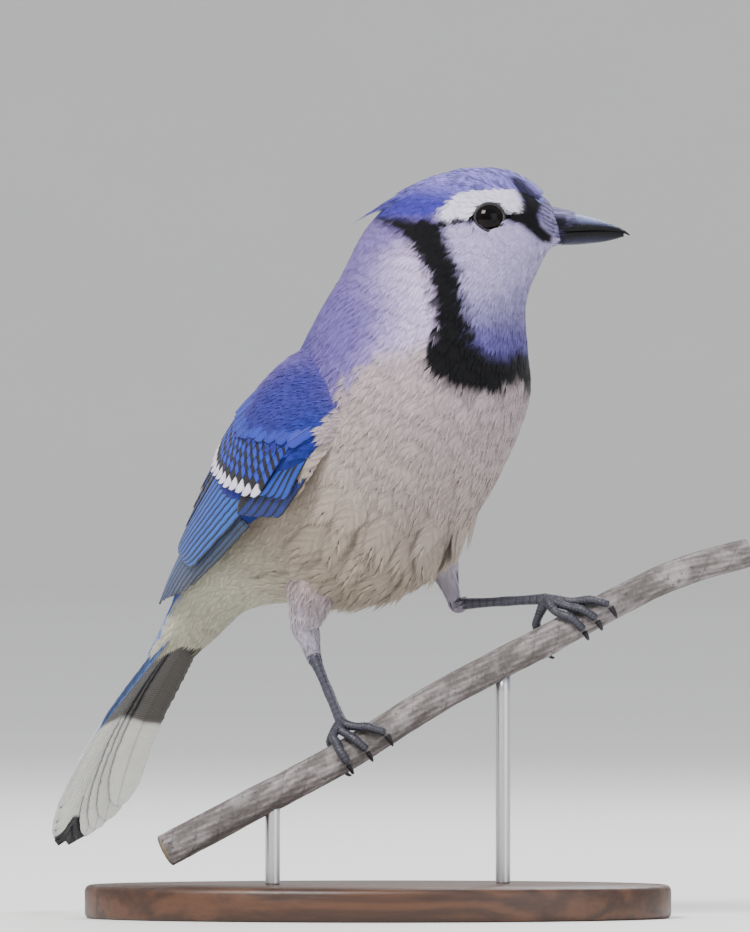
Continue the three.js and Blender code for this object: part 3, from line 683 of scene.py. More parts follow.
def coat_material():
    m = Material("body_feathers", 0.8, Sheen_Weight=0.04, Specular_IOR_Level=0.15)
    mottle = m.noise(0.35, 4) * 0.22 + 0.89
    fine = m.noise(3.5, 3)
    return m.set(m.shade(m.painted(), mottle), fine * 0.2 + 0.68, fine, 0.00006)


def vane_material(name, gloss):
    """Flight feathers: vane holds (w, millimetres from the root, millimetres to the tip), mark holds
    (strength of the bars, length of the white tip, bar spacing)."""
    m = Material(name, gloss, Sheen_Weight=0.1, Specular_IOR_Level=0.35)
    w, run, left = m.parts("vane")
    bars, white, spacing = m.parts("mark")
    wobble = m.noise(0.5, 2) - 0.5
    phase = (run + w.size() * -1.1 + wobble * 0.9) / spacing * TAU
    stripe = (phase.sine() + bars * 0.5 - 0.5).ramp(0.0, 0.3) * bars.ramp(0.08, 0.7)
    shaft = w.size().ramp(0.09, 0.04) * 0.55 * bars.ramp(-0.1, 0.1)
    colour = m.blend(m.painted(), BLACK, (stripe + shaft).larger(0.0))
    tip = left - white + wobble * 1.6 + w.size() * 0.8
    has_tip = white.ramp(0.05, 0.4)
    band = tip.ramp(2.4, 1.2) * has_tip * bars.ramp(0.05, 0.3)
    colour = m.blend(colour, BLACK, band)
    colour = m.blend(colour, WHITE, tip.ramp(0.5, -0.3) * has_tip)
    barbs = ((run * 0.9 - w.size() * 2.2) * 9.0).sine()
    colour = m.shade(colour, barbs * 0.05 + (m.noise(0.25, 3) * 0.3 + 0.84))
    return m.set(colour, m.noise(2.0, 2) * 0.2 + (gloss - 0.1), barbs, 0.00004)


COAT = coat_material()
VANES = vane_material("wing_feathers", 0.5)


# Skin and coat

SKIN_START = 1.9
EYE_CLEAR = 4.85
MAX_TUFTS = int(190000 / len(TUFT_FACES))
SIDES = (("right", -1), ("left", 1))
COAT_REGIONS = (  # name, first and last station, slot, ruffle
    ("tail_coverts", 1.2, 3.4, "body_plumage", 1.0),
    ("torso", 3.4, 9.0, "body_plumage", 1.15),
    ("neck", 9.0, 12.4, "neck_plumage", 0.9),
    ("head", 12.4, 18.95, "head_plumage", 0.7),
)


def skin():
    """One smooth skin under the whole coat, from the tail coverts to the bill."""
    rows, cols = 260, 120
    u, a = ring_grid(SKIN_START, LAST, rows, cols)
    points = with_ends(outline(u, a, -smooth(COAT_DEPTH, u) - 0.25), cols)
    # The skin takes the markings' colours darkened to 0.85, as painted shade under the tufts.
    colour = end_rows(markings(u.ravel(), a.ravel()) * 0.85)
    uv = unwrap(a.ravel() / TAU, u.ravel() / LAST, margin=0.01)
    uv = np.concatenate([uv, [[0.5, 0.005], [0.5, 0.995]]])
    piece = mesh_object("skin", points, ring_faces(rows, cols), colour=colour, uv=uv)
    dress(piece, COAT, "body_plumage", "head", "neck", "torso")


def clear_of_eyes(u, a):
    """Leaves out the feathers that would lie over the eyes."""
    stations = smooth(COAT_LENGTH, u) / speed(u, a)[0]
    clear = np.ones(len(u), bool)
    for share in (0, 0.5, 1.0):
        p = outline(np.maximum(u - share * stations, 0), a, 0, mirrored=True)
        clear &= np.hypot(p[:, 0] - NECK_AXIS[0] - EYE_S - 0.4, p[:, 2] - EYE_Z - 0.4) > EYE_CLEAR
    return clear | (u < 12)


def clear_of_eyes_and_tail(u, a):
    """Leaves out also the feathers past the slanted end of the tail coverts."""
    return clear_of_eyes(u, a) & (u > 1.7 + 0.6 * step(0.2, -0.9, np.sin(a)))


skin()
for region, low, high, slot, ruffle in COAT_REGIONS:
    roots = sow(low, high, clear_of_eyes_and_tail)
    chunks = int(np.ceil(len(roots) / MAX_TUFTS))
    for i in range(chunks):
        coat(f"coat_{region}_{i + 1}", roots[i::chunks], slot, ruffle=ruffle)


# Wing, tail and crest feathers

OUTER_WEB = [-1, -0.9, -0.7, -0.45, -0.3, -0.1, 0, 0.1, 0.5, 1]  # columns of a feather with a coloured edge
VANE_THICK = 0.35


def shares(count):
    """Evenly spaced numbers from 0 to 1."""
    return [i / (count - 1) for i in range(count)]


def vane(bag, surface, root, tip, half, h, colour, under=None, bars=0.0, white=0.0, spacing=4.0, outer=None,
         lift=0.2, taper=0.55, rows=26, cols=7):
    """One flight feather as a closed thin sheet with a raised shaft, added to a bag. outer recolours the web
    at smaller w."""
    columns = np.linspace(-1, 1, cols) if outer is None else np.array(OUTER_WEB)
    cols = len(columns)
    t, v = np.meshgrid(np.linspace(0, 1, rows), columns, indexing="ij")
    swell = mix(taper, 1, np.sin(np.minimum(t / 0.6, 1) * np.pi / 2))
    close = np.sqrt(np.clip(1 - ((t - 0.86) / 0.14).clip(0, 1) ** 2, 0, 1))
    reach = np.maximum(half * swell * close, 0.06)
    ragged = rng.normal(0, 0.025, (rows, 1))
    x = mix(root[0], tip[0], t) - np.abs(v) * reach * 0.18 + ragged * np.abs(v) ** 3
    w = mix(root[1], tip[1], t) + v * reach * (1 + ragged)
    camber = 0.16 * (1 - v**2) + 0.1 * np.exp(-((v / 0.14) ** 2))
    top = mix(h[0], h[1], t) - v * lift + camber
    upper = surface(x, w, top).reshape(-1, 3)
    lower = surface(x, w, top - VANE_THICK * mix(1, 0.35, t)).reshape(-1, 3)
    n = rows * cols
    top_faces = grid_faces(rows, cols)
    rim = np.concatenate([
        np.arange(cols), np.arange(1, rows) * cols + cols - 1,
        n - 2 - np.arange(cols - 1), np.arange(rows - 2, 0, -1) * cols,
    ])
    after = np.roll(rim, -1)
    rim_faces = np.stack([rim, rim + n, after + n, after], 1)
    tint = rng.uniform(0.92, 1.07)
    face = np.broadcast_to(colour, (rows, cols, 3))
    web = np.full((rows, cols), float(bars))
    if outer is not None:
        face = blend(face, outer, (v < -0.2) & (v > -0.8))
        web = web * np.where(v < -0.05, 1.0, 0.35)
    face = face * tint * (0.88 + 0.12 * np.abs(v) ** 0.5)[..., None]
    underside = np.broadcast_to(colour if under is None else under, (rows, cols, 3)) * tint
    if under is not None:
        face[:, [0, -1]] = mix(face, underside, 0.7)[:, [0, -1]]
        web[:, [0, -1]] = 0
    length = math.hypot(tip[0] - root[0], tip[1] - root[1])
    coords = np.stack([v, t * length, length - t * length], -1).reshape(-1, 3)
    marks = np.stack([web, np.full_like(web, white), np.full_like(web, spacing)], -1).reshape(-1, 3)
    low_marks = marks * [0.0, 1.0 if under is None else 0.0, 1.0]
    cell = np.array([len(bag.parts) % 8, len(bag.parts) // 8]) / 8
    uv_top = cell + np.stack([v * 0.5 + 0.5, t], -1).reshape(-1, 2) * [0.055, 0.118] + 0.003
    uv_low = uv_top + [0.06, 0]
    bag.add(
        np.concatenate([upper, lower]),
        [top_faces, top_faces[:, ::-1] + n, rim_faces],
        colour=np.clip(np.concatenate([face.reshape(-1, 3), underside.reshape(-1, 3)]), 0, 1),
        vane=np.concatenate([coords, coords]),
        mark=np.concatenate([marks, low_marks]),
        uv=np.concatenate([uv_top, uv_low]),
    )


WING_CENTRES = [(-8, -32.5, 163), (-31, -36, 154), (-52, -34, 138), (-72, -27, 122), (-90, -17, 108),
                (-105, -8.5, 94)]
WING_NORMALS = [(-0.1, -0.97, 0.15), (-0.2, -0.93, 0.3), (-0.26, -0.9, 0.34), (-0.35, -0.82, 0.45),
                (-0.45, -0.68, 0.58), (-0.5, -0.6, 0.62)]
WING_RADII = [30, 35, 34, 27, 18, 14]


def wing_strip(side):
    return Strip(WING_LENGTH, WING_CENTRES, WING_NORMALS, WING_RADII, -side)


def flight_feathers(bag, surface):
    """Primaries, secondaries and tertials."""
    for f in shares(8):
        vane(bag, surface, (56, mix(-20, -9, f)), (mix(94, WING_LENGTH, f**0.75), mix(-14, -1, f)), 3.2,
             (0.5, mix(0.0, 0.9, f)), NAVY, outer=mix(EDGE_GREY, CERULEAN, 0.35 * f), lift=0.2)
    for f in shares(10):
        vane(bag, surface, (42, mix(-16, 4, f)), (mix(88, 98, f), mix(-11, 3.5, f)), 3.7,
             (1.1, mix(1.2, 2.0, f)), NAVY, outer=mix(CERULEAN, COBALT, 0.5 * f), bars=0.12, spacing=3.0,
             white=2.2 if f > 0.7 else 0, lift=0.26)
    for f in shares(3):
        vane(bag, surface, (mix(48, 42, f), mix(6, 12, f)), (mix(90, 76, f), mix(4.5, 9, f)), 5.0,
             (1.5, mix(2.3, 2.8, f)), NAVY, outer=COBALT * 0.6, bars=1.0, spacing=4.0, white=2.0, lift=0.15,
             rows=40)


def wing_coverts(bag, surface):
    """Dark primary coverts, plain blue coverts at the lower edge, barred greater coverts and medians."""
    for f in shares(5):
        tip = mix(47, 55, f), mix(-25, -17, f)
        vane(bag, surface, (tip[0] - 24, tip[1] + 3), tip, 2.7, (-1.0, mix(1.4, 2.4, f)), NAVY, outer=DEEP,
             lift=0.2)
    for f in shares(5):
        tip = mix(40, 46, f), mix(-24, -17, f)
        vane(bag, surface, (tip[0] - 24, max(tip[1] + 5, -16)), tip, 2.2, (-1.4, mix(2.3, 2.9, f)), NAVY,
             outer=mix(CERULEAN, COBALT, 0.6) * 0.8, lift=0.28, rows=34)
    for f in shares(14):
        w = mix(-17, 13.5, f)
        far = min((w + 17) / 19, 1)
        tip = mix(47.5, 61, far) + rng.uniform(-0.6, 0.6)
        vane(bag, surface, (tip - 24, min(w + 4, 14)), (tip, w), 2.1, (2.0, mix(3.1, 3.2, f)),
             COBALT, bars=1.25, spacing=3.4, white=4.2, lift=0.3, rows=44)
    for f in shares(11):
        w = mix(-14, 13.5, f)
        far = min((w + 19) / 22, 1)
        tip = mix(20, 45, far) + rng.uniform(-1.0, 1.0)
        vane(bag, surface, (tip - 18, w * mix(0.66, 0.9, far)), (tip, w), 2.3,
             (mix(-0.6, 1.6, far), mix(3.2, 3.4, f)), blend(COBALT, SCAPULAR, 0.3 + 0.4 * abs(f - 0.5)),
             bars=0.3 if 0.45 < f < 0.9 else 0.03, spacing=3.9, lift=0.22, rows=20)


for name, side in SIDES:
    bag = Bag()
    flight_feathers(bag, wing_strip(side))
    wing_coverts(bag, wing_strip(side))
    dress(bag.build(f"wing_{name}"), VANES, "wing_feathers", f"wing_{name}")


TAIL_CENTRES = [(-81, 0, 110), (-108.3, -0.6, 82.7), (-134.6, -1.6, 52), (-151.6, -2, 19.2)]
TAIL_NORMALS = [(-0.7, -0.2, 0.7), (-0.75, -0.14, 0.66), (-0.82, -0.06, 0.57), (-0.88, 0, 0.48)]
TAIL_STEPS = [0, 2, 3.5, 6, 9.5, 15]
TAIL_ROOT = 10
TAIL_ROWS = 90


def tail_below(less, black):
    """The underside of a feather: grey, then white greyed a little as painted shade, then a tip that is black
    for the last few millimetres.
    """
    left = (TAIL_LENGTH - less - TAIL_ROOT) * (1 - np.linspace(0, 1, TAIL_ROWS))
    colour = blend(TAIL_UNDER, WHITE_BELOW_PAINTED_SHADE, step(46 - less, 44 - less, left))
    return blend(colour, BLACK, step(black + 1, black, left))[:, None, :]


def tail():
    surface = Strip(TAIL_LENGTH, TAIL_CENTRES, TAIL_NORMALS, [15, 20, 32, 42])
    bag = Bag()
    for side in (-1, 1):
        for i, less in enumerate(TAIL_STEPS):
            f = i / 5
            middle = i < 2
            root = TAIL_ROOT, side * mix(0.5, 2.4, f)
            tip = TAIL_LENGTH - less, side * mix(2.4, 13.6, f)
            h = mix(1.0, -0.7, f), mix(1.1, -1.0, f) + (0.15 if side > 0 else 0)
            vane(bag, surface, root, tip, 5.9, h, TAIL_BLUE, under=tail_below(less, 7 if middle else -2),
                 bars=0.55, spacing=4.6, white=0 if middle else mix(14, 28, f), lift=-side * 0.12,
                 rows=TAIL_ROWS, cols=11, taper=0.5)
    dress(bag.build("tail"), VANES, "tail_feathers", "tail")


tail()


# Tufts on any curved surface: the crest, the shoulder of the wing, the thighs and the bristles at the bill

def lay(name, surface, roots, length, width, depth, colour, slot, spread, ruffle=1.0, h=(0.0, 0.0), sweep=0.0,
        gather=0.0):
    """Tufts at roots (x, w) of a surface. spread is the surface's reach in x and w, for the unwrap."""
    x0, w0 = roots[:, 0], roots[:, 1]
    n = len(x0)
    long = (length * rng.uniform(0.85, 1.15, n))[:, None]
    wide = (width * rng.uniform(0.85, 1.15, n))[:, None] / 2
    t, v, k, shade = (TUFT[:, i][None, :] for i in range(4))
    sway = rng.normal(0, 0.07, n)[:, None] * ruffle + sweep
    tilt = rng.normal(0, 0.08, n)[:, None] * ruffle
    x = x0[:, None] + t * long
    w = w0[:, None] * (1 - gather * t) + v * wide + sway * long * t**1.4
    rise = mix(h[0], h[1], t) + (k + tilt * v * 0.5 - 0.3 + rng.uniform(-0.25, 0.25, n)[:, None]) * depth
    colours = colour(x0 + 0.7 * long[:, 0], w0)[:, None, :] * (shade * (1.03 - 0.08 * np.abs(v)))[..., None]
    colours = colours * rng.uniform(0.9, 1.08, n)[:, None, None]
    (x_low, x_high), (w_low, w_high) = spread
    root_uv = unwrap((w0 - w_low) / (w_high - w_low), (x0 - x_low) / (x_high - x_low))
    dress(tuft_mesh(name, surface(x, w, rise), colours, root_uv), COAT, slot)


def rows_of(x_from, x_to, x_step, reach, w_step):
    """Roots in staggered rows. reach(x) gives the lowest and highest w of a row."""
    out = []
    for k, x in enumerate(np.arange(x_from, x_to, x_step)):
        low, high = reach(x)
        if high - low < w_step * 0.5:
            continue
        count = max(int((high - low) / w_step), 1)
        w = low + (np.arange(count) + 0.25 + 0.5 * (k % 2)) / count * (high - low)
        x = x + rng.uniform(-0.35, 0.35, count) * x_step
        out.append(np.stack([x, w + rng.uniform(-0.3, 0.3, count) * w_step], 1))
    return np.concatenate(out)


CREST_CENTRES = [(31.5, 0, 218.6), (21, 0, 224), (11.4, 0, 225), (2.4, 0, 224), (-6.6, 0, 221),
                 (-14.4, 0, 216.8), (-20.4, 0, 213), (-24.6, 0, 210.2)]
CREST_NORMALS = [(0.5, 0, 0.86), (0.25, 0, 0.97), (0, 0, 1), (-0.15, 0, 1), (-0.35, 0, 0.93), (-0.5, 0, 0.86),
                 (-0.5, 0, 0.86), (-0.5, 0, 0.86)]
CREST_RADII = [11, 12.5, 14, 14.5, 14, 12, 10, 9]
CREST_TIERS = (  # first and last root, tuft length and width, row spacing, height, gathering
    (24, 53, 16.0, 4.2, 1.8, -0.9, 0.3),
    (2, 42, 12.0, 3.4, 1.6, -0.4, 0.1),
    (0, 24, 8.0, 2.8, 1.4, -0.1, 0.1),
)


def crest():
    surface = Strip(CREST_LENGTH, CREST_CENTRES, CREST_NORMALS, CREST_RADII, yaw=0.0)

    def colour(x, w):
        px, py = photo_place(surface(x, -np.abs(w), 0))
        base = blend(crown_colour(px, py), CREST_PALE, rng.uniform(0, 0.45, x.shape) ** 1.5)
        base = base * (1 - 0.45 * (rng.random(x.shape) < 0.3))[..., None]
        base = blend(base, BLACK, within(LORES, px, py, 2.5) * 0.9)
        return spotted(base, px, py)

    for tier, (start, end, long, wide, row_step, low, gather) in enumerate(CREST_TIERS):
        def reach(x):
            edge = max(min(16.0, (CREST_LENGTH + 1 - x - long) / 1.1, 9 + x * 0.4), 0.3)
            return -edge, edge

        roots = rows_of(start, end, row_step, reach, 1.2)
        lay(f"crest_{tier + 1}", surface, roots, long, wide, 0.6, colour, "head_plumage",
            ((0, CREST_LENGTH), (-18, 18)), ruffle=0.8, h=(low - 0.7, low + 0.4), gather=gather)


crest()


# Wing shoulder

WING_DORSAL, WING_VENTRAL, WING_RISE = [12, 21, 20, 13, 5], [13, 22, 24, 17, 8], [0.4, 2.6, 2.4, 1.2, 0.5]
WING_STATION = 24  # millimetres between the numbers of those lists
WING_SKIN_LENGTH = 92


def along_wing(values, x):
    return smooth(values, np.clip(x / WING_STATION, 0, 3.9))


def wing_reach(x):
    """The lowest and highest w of the wing at x."""
    return 1 - along_wing(WING_VENTRAL, x), along_wing(WING_DORSAL, x) - 1


def shoulder_colour(x, w):
    low, high = wing_reach(x)
    f = np.clip((w - low) / (high - low), 0, 1)
    base = blend(SHOULDER_BLUE, SCAPULAR, step(0.1, 0.45, f))
    base = blend(base, MANTLE, (step(0.55, 1.0, f) * 0.9 + step(14, -4, x) * 0.6).clip(0, 1))
    return blend(base, DEEP, step(0.16, 0.0, f) * step(4, 16, x) * 0.7)


def wing_skin(name, side):
    """A smooth domed body under the wing's feathers."""
    rows, cols = 70, 48
    x, a = ring_grid(1, WING_SKIN_LENGTH, rows, cols)
    low, high = wing_reach(x)
    w = np.cos(a) * np.where(np.cos(a) > 0, high, -low) * 0.97
    h = np.sin(a) * np.where(np.sin(a) > 0, along_wing(WING_RISE, x), 4) - 0.3
    # The shoulder colours are darkened to 0.8 here, as painted shade under the shoulder's tufts.
    colour = end_rows(shoulder_colour(x.ravel(), w.ravel()) * 0.8)
    uv = end_rows(unwrap(a.ravel() / TAU, x.ravel() / WING_SKIN_LENGTH))
    points = with_ends(wing_strip(side)(x, w, h), cols)
    piece = mesh_object(f"wing_skin_{name}", points, ring_faces(rows, cols), colour=colour, uv=uv)
    dress(piece, COAT, "wing_feathers")


def shoulder(name, side):
    """Scapulars and small coverts, and the breast feathers that lap over the wing's front edge."""
    strip = wing_strip(side)

    def domed(x, w, h):
        low, high = wing_reach(x)
        share = np.clip(w / np.where(w > 0, high, -low), -1, 1)
        return strip(x, w, h + along_wing(WING_RISE, x) * np.sqrt(1 - share**2))

    roots = rows_of(-9, 36, 1.8, lambda x: (wing_reach(x)[0] + 0.5, wing_reach(x)[1] + 3.5), 1.7)
    line = np.clip((roots[:, 1] + 19) / 22, 0, 1)
    roots = roots[roots[:, 0] + rng.uniform(-1.5, 1.5, len(roots)) < mix(16, 34, line)]
    flank = rows_of(-6, 34, 1.5, lambda x: (wing_reach(x)[0] - 2.5, wing_reach(x)[0] + 0.6), 1.3)
    lay(f"coat_flank_{name}", strip, flank, 10.0, 4.4, 0.6, lambda x, w: blend(BREAST, BELLY, step(0, 34, x)),
        "body_plumage", ((-8, 36), (-30, 0)), h=(-1.0, 0.3), ruffle=1.4, sweep=-0.05)
    wrist = rows_of(-9, 7, 1.4, lambda x: (wing_reach(x)[0] - 2.0, wing_reach(x)[0] + 1.6), 1.3)
    lay(f"coat_wrist_{name}", domed, wrist, 9.0, 4.2, 0.5, lambda x, w: even(BREAST, x),
        "body_plumage", ((-10, 10), (-30, 0)), h=(-0.8, 1.2), ruffle=1.6, sweep=-0.04)
    lay(f"coat_shoulder_{name}", domed, roots, 11.0, 5.0, 0.5, shoulder_colour, "wing_feathers",
        ((-10, 40), (-26, 22)), h=(-1.3, 0.7))


for name, side in SIDES:
    wing_skin(name, side)
    shoulder(name, side)


# Legs

class Tube:
    """A tube's surface: x along it, w round it (in millimetres on a circle of radius ROUND), h above."""

    ROUND = 6.0

    def __init__(self, path, radii, count=60):
        self.path = resample(path, count)
        self.length = np.linalg.norm(np.diff(self.path, axis=0), axis=1).sum()
        self.radii = smooth(radii, np.linspace(0, len(radii) - 1, count))
        self.along = unit(np.gradient(self.path, axis=0))
        self.across = unit(np.cross(self.along, [0, 1.0, 0.2]))
        self.over = np.cross(self.along, self.across)

    def __call__(self, x, w, h):
        x, w, h = np.broadcast_arrays(*(np.asarray(v, float) for v in (x, w, h)))
        t = x / self.length
        i = np.clip(t, 0, 1) * (len(self.path) - 1)
        k = np.clip(i.astype(int), 0, len(self.path) - 2)
        f = (i - k)[..., None]

        def at(rows):
            return rows[k] * (1 - f) + rows[k + 1] * f

        r = at(self.radii[:, None])[..., 0] + h
        a = w / self.ROUND
        p = at(self.path) + at(self.along) * ((t - np.clip(t, 0, 1)) * self.length)[..., None]
        return p + at(self.across) * (r * np.cos(a))[..., None] + at(self.over) * (r * np.sin(a))[..., None]


BRANCH = [(-64, 20.4), (-40.5, 32.7), (-10.5, 48.6), (19.5, 67.2), (49.5, 82.8), (73.5, 95.7), (91.5, 103.8),
          (112, 109.8)]
BRANCH_TURN = math.radians(12)
BRANCH_POINTS = 500
BRANCH_PATH = resample([(x, -8.4 + x * math.tan(BRANCH_TURN), z) for x, z in BRANCH], BRANCH_POINTS)
BRANCH_LENGTH = np.linalg.norm(np.diff(BRANCH_PATH, axis=0), axis=1).sum()
BRANCH_RADII = (5.0, 4.4)
TARSUS_RADIUS, TOE_RADIUS, GAP = 1.55, 1.35, 0.3


def round_branch(x, d, degrees, h):
    """A point round the branch: d along it, degrees from its top towards the viewer, h above the bark."""
    places = np.arange(float(BRANCH_POINTS))
    i = np.interp(x, BRANCH_PATH[:, 0], places)
    along = unit(BRANCH_PATH[int(i) + 1] - BRANCH_PATH[int(i) - 1])
    front = unit(np.cross(along, [0, 0, 1.0]))
    over = np.cross(front, along)
    j = np.clip(i + d / BRANCH_LENGTH * places[-1], 0, places[-1])
    centre = np.array([np.interp(j, places, BRANCH_PATH[:, c]) for c in range(3)])
    r = mix(*BRANCH_RADII, i / places[-1]) * 1.03 + h
    a = math.radians(degrees)
    return centre + over * math.cos(a) * r + front * math.sin(a) * r


LEGS = {
    "right": dict(
        top=[place(-40, -13, 98), place(-44, -11.5, 88)], radii=[8, 5.8, 4.4, 3],
        heel=place(-42.3, -9.9, 78.6), knuckle=np.array([-11.1, -9, 59.1]), foot_x=-10,
        toes=[[(-0.5, 20), (-1.5, 62), (-1.5, 104)], [(2.5, 14), (4, 58), (5.5, 100)],
              [(5, 10), (9.5, 50), (13, 88)], [(-0.5, -42), (-1, -82), (-1.5, -120)]],
    ),
    "left": dict(
        top=[place(-22, 19, 118), place(-20.5, 24, 106)], radii=[8, 6.2, 4.6, 2.5],
        heel=place(-15.8, 24.8, 93.9), knuckle=np.array([50.4, 4, 95.7]), foot_x=53,
        toes=[[(3, 22), (6, 66), (7.5, 108)], [(6, 14), (10, 56), (12.5, 98)],
              [(8, 6), (14, 42), (18, 80)], [(-2, -40), (-3, -80), (-3.5, -118)]],
    ),
}
THIGH_TOP = srgb(176, 168, 178)
THIGH_LOW = srgb(150, 144, 160)
LEG_DARK = srgb(24, 24, 31)
LEG_PALE = srgb(66, 66, 80)
TOE_DARK, TOE_PALE = LEG_DARK * 0.7, LEG_PALE * 0.8
TALON = mix(srgb(28, 27, 32), srgb(60, 58, 64), 0.2)
SCUTES, TOE_SCALES = 13, 17


def skin_material(name, roughness, **fixed):
    m = Material(name, roughness, **fixed)
    colour = m.shade(m.painted(), m.noise(0.7, 4) * 0.6 + 0.7)
    grain = m.voronoi(1.6)
    return m.set(colour, m.noise(1.2, 3) * 0.25 + (roughness - 0.12), grain, 0.00012)


LEG_SKIN = skin_material("leg_skin", 0.48)
HORN = skin_material("horn", 0.42, Specular_IOR_Level=0.18)


def thigh(name, top, radii, heel, shin):
    shank = unit(heel - top[1])
    cuff = Tube([*top, heel - shank * 5, heel + shank * 0.3, heel + shin * 2.6], [*radii, 2.0])
    round_it = TAU * Tube.ROUND
    rows, cols = 40, 32
    x, a = ring_grid(0, cuff.length, rows, cols)
    points = with_ends(cuff(x, a * Tube.ROUND, -0.9), cols)
    uv = end_rows(unwrap(a.ravel() / TAU, x.ravel() / cuff.length))
    # The thigh's grey is darkened to 0.8 on this skin, as painted shade under the thigh's tufts.
    piece = mesh_object(f"thigh_skin_{name}", points, ring_faces(rows, cols),
                        colour=even(mix(THIGH_TOP, THIGH_LOW, 0.5) * 0.8, points), uv=uv)
    dress(piece, COAT, "thigh_down", f"thigh_{name}")
    roots = rows_of(-13, -1, 1.3, lambda x: (0, round_it), 2.4)
    lay(f"coat_thigh_top_{name}", cuff, roots, 12.0, 5.4, 1.0,
        lambda x, w: blend(BREAST * 0.97, THIGH_TOP, x / 14),
        "thigh_down", ((-14, 14), (0, round_it)), h=(-2.6, 0.9), ruffle=2.0)
    roots = rows_of(-4, cuff.length - 5.5, 0.8, lambda x: (0, round_it), 1.8)
    lay(f"coat_thigh_{name}", cuff, roots, 7.0, 3.0, 0.6,
        lambda x, w: blend(THIGH_TOP, THIGH_LOW, x / cuff.length),
        "thigh_down", ((-6, cuff.length), (0, round_it)), h=(-0.9, 0.25), ruffle=2.2)


def groove(t, count, width):
    """1 in the grooves between count scales along a limb, falling to 0 past a share width of each scale."""
    return np.exp(-((t * count % 1) / width) ** 2)


def tarsus(name, heel, knuckle, shin):
    rows, sides = 120, 24
    shank = [mix(heel, knuckle, k) for k in (0.25, 0.4, 0.55, 0.7, 0.85)]
    path = resample([heel - shin, heel + shin * 2.5, *shank, knuckle], rows)
    radii = smooth([1.25, 1.15, 1, 0.93, 1, 0.93, 1, 1.1], np.linspace(0, 7, rows)) * TARSUS_RADIUS * 0.97

    def scutes(t, angle):
        relief = 0.07 * (t * SCUTES % 1) ** 0.6 - 0.06 * groove(t, SCUTES, 0.1)
        return relief * (0.6 + 0.4 * np.cos(angle * 2))

    points, faces = tube_mesh(path, radii, sides, rough=scutes)
    # The grooves between the scutes are painted darker: painted shade in the recesses.
    shade = np.concatenate([groove(np.linspace(0, 1, rows), SCUTES, 0.16).repeat(sides), [0, 0]])
    colour = blend(LEG_PALE, LEG_DARK, 0.35 + 0.65 * shade)
    piece = mesh_object(f"tarsus_scutes_{name}", points, faces, colour=colour)
    dress(piece, LEG_SKIN, "leg_skin", f"tarsus_{name}")


def toe_ridges(t, angle):
    return 0.07 * (t * TOE_SCALES % 1) ** 0.7 - 0.08 * groove(t, TOE_SCALES, 0.14)


def foot(name, knuckle, shin, foot_x, toes):
    """Four scaly toes that grip the branch, and the knuckle that they meet at."""
    rows, sides = 72, 20
    bag = Bag()
    for toe in toes:
        near, mid, far = (np.array(p, float) for p in toe)
        joints = [near, (near + mid) / 2, mid, (mid + far) / 2, far]
        clear = [TOE_RADIUS + GAP + lift for lift in (1.1, 0, 0, 0, 0)]
        path = [round_branch(foot_x, d, degrees, h) for (d, degrees), h in zip(joints, clear)]
        path = resample([knuckle + shin * 0.2, *path], rows)
        radii = smooth([1.2, 1.15, 0.92, 1.08, 0.9, 0.98], np.linspace(0, 5, rows)) * TOE_RADIUS * 0.96
        radii[-4:] *= [0.97, 0.9, 0.78, 0.6]
        points, faces = tube_mesh(path, radii, sides, rough=toe_ridges)
        # The grooves between the toe scales are painted darker: painted shade in the recesses.
        shade = np.concatenate([groove(np.linspace(0, 1, rows), TOE_SCALES, 0.2).repeat(sides), [0, 0]])
        bag.add(points, faces, colour=blend(TOE_PALE, TOE_DARK, 0.4 + 0.6 * shade))
    knob = resample([knuckle + shin * k for k in (-1.7, -0.8, 0, 0.9, 1.7)], 18)
    points, faces = tube_mesh(knob, np.sin(np.linspace(0.25, np.pi - 0.25, 18)) * TOE_RADIUS * 1.3, sides)
    bag.add(points, faces, colour=even(mix(TOE_PALE, TOE_DARK, 0.5), points))
    dress(bag.build(f"toes_{name}"), LEG_SKIN, "leg_skin", f"foot_{name}")


def talon(name, foot_x, toe_end):
    """A claw that curves on round the branch from the end of its toe, just clear of the bark."""
    d, degrees = toe_end
    way = math.copysign(1, degrees)
    f = np.linspace(0, 1, 16)
    turn = degrees + way * (8 + 47 * f)
    clear = GAP + mix(TOE_RADIUS, 0.75, f) + 0.45 * np.sin(f * 3.1)
    path = [round_branch(foot_x, d + 0.6 * f[i], turn[i], clear[i]) for i in range(len(f))]
    points, faces = tube_mesh(path, mix(0.92, 0.1, f**1.5), 14, flat=0.85)
    piece = mesh_object(f"talon_{name}", points, faces, colour=even(TALON, points))
    dress(piece, HORN, "claw", f"claw_{name}")


def leg(name, top, radii, heel, knuckle, foot_x, toes):
    shin = unit(knuckle - heel)
    thigh(name, top, radii, heel, shin)
    tarsus(name, heel, knuckle, shin)
    foot(name, knuckle, shin, foot_x, toes)
    for i, toe in enumerate(toes):
        talon(f"{name}_{i + 1}", foot_x, toe[-1])


for name, form in LEGS.items():
    leg(name, **form)


def skirt():
    """Loose belly feathers that hang over the tops of the thighs."""
    roots = sow(5.0, 7.0, lambda u, a: np.sin(a) < -0.45)
    roots = roots[rng.random(len(roots)) < 0.35]
    coat("coat_belly_loose", roots, "body_plumage", lift=0.3, longer=1.1, ruffle=2.4, droop=0.5)
    plumes = sow(5.2, 7.2, lambda u, a: np.sin(a) < -0.8)
    plumes = plumes[rng.random(len(plumes)) < 0.3]
    coat("coat_plumes", plumes, "body_plumage", longer=1.15, ruffle=2.2, droop=1.5)


skirt()


# Eyes, bill and bristles

PUPIL, IRIS = srgb(4, 3, 5), srgb(17, 10, 8)
LID = mix(srgb(12, 11, 16), srgb(50, 47, 60), 0.12)


def eye_material():
    """A wet dark eye: its gloss is even but for a faint film."""
    m = Material("eye_gloss", 0.04, Specular_IOR_Level=0.14)
    film = m.noise(0.5, 2)
    colour = m.shade(m.painted(), m.noise(1.4, 3) * 0.4 + 0.8)
    return m.set(colour, film * 0.04 + 0.02, film, 0.00001)


EYE = eye_material()


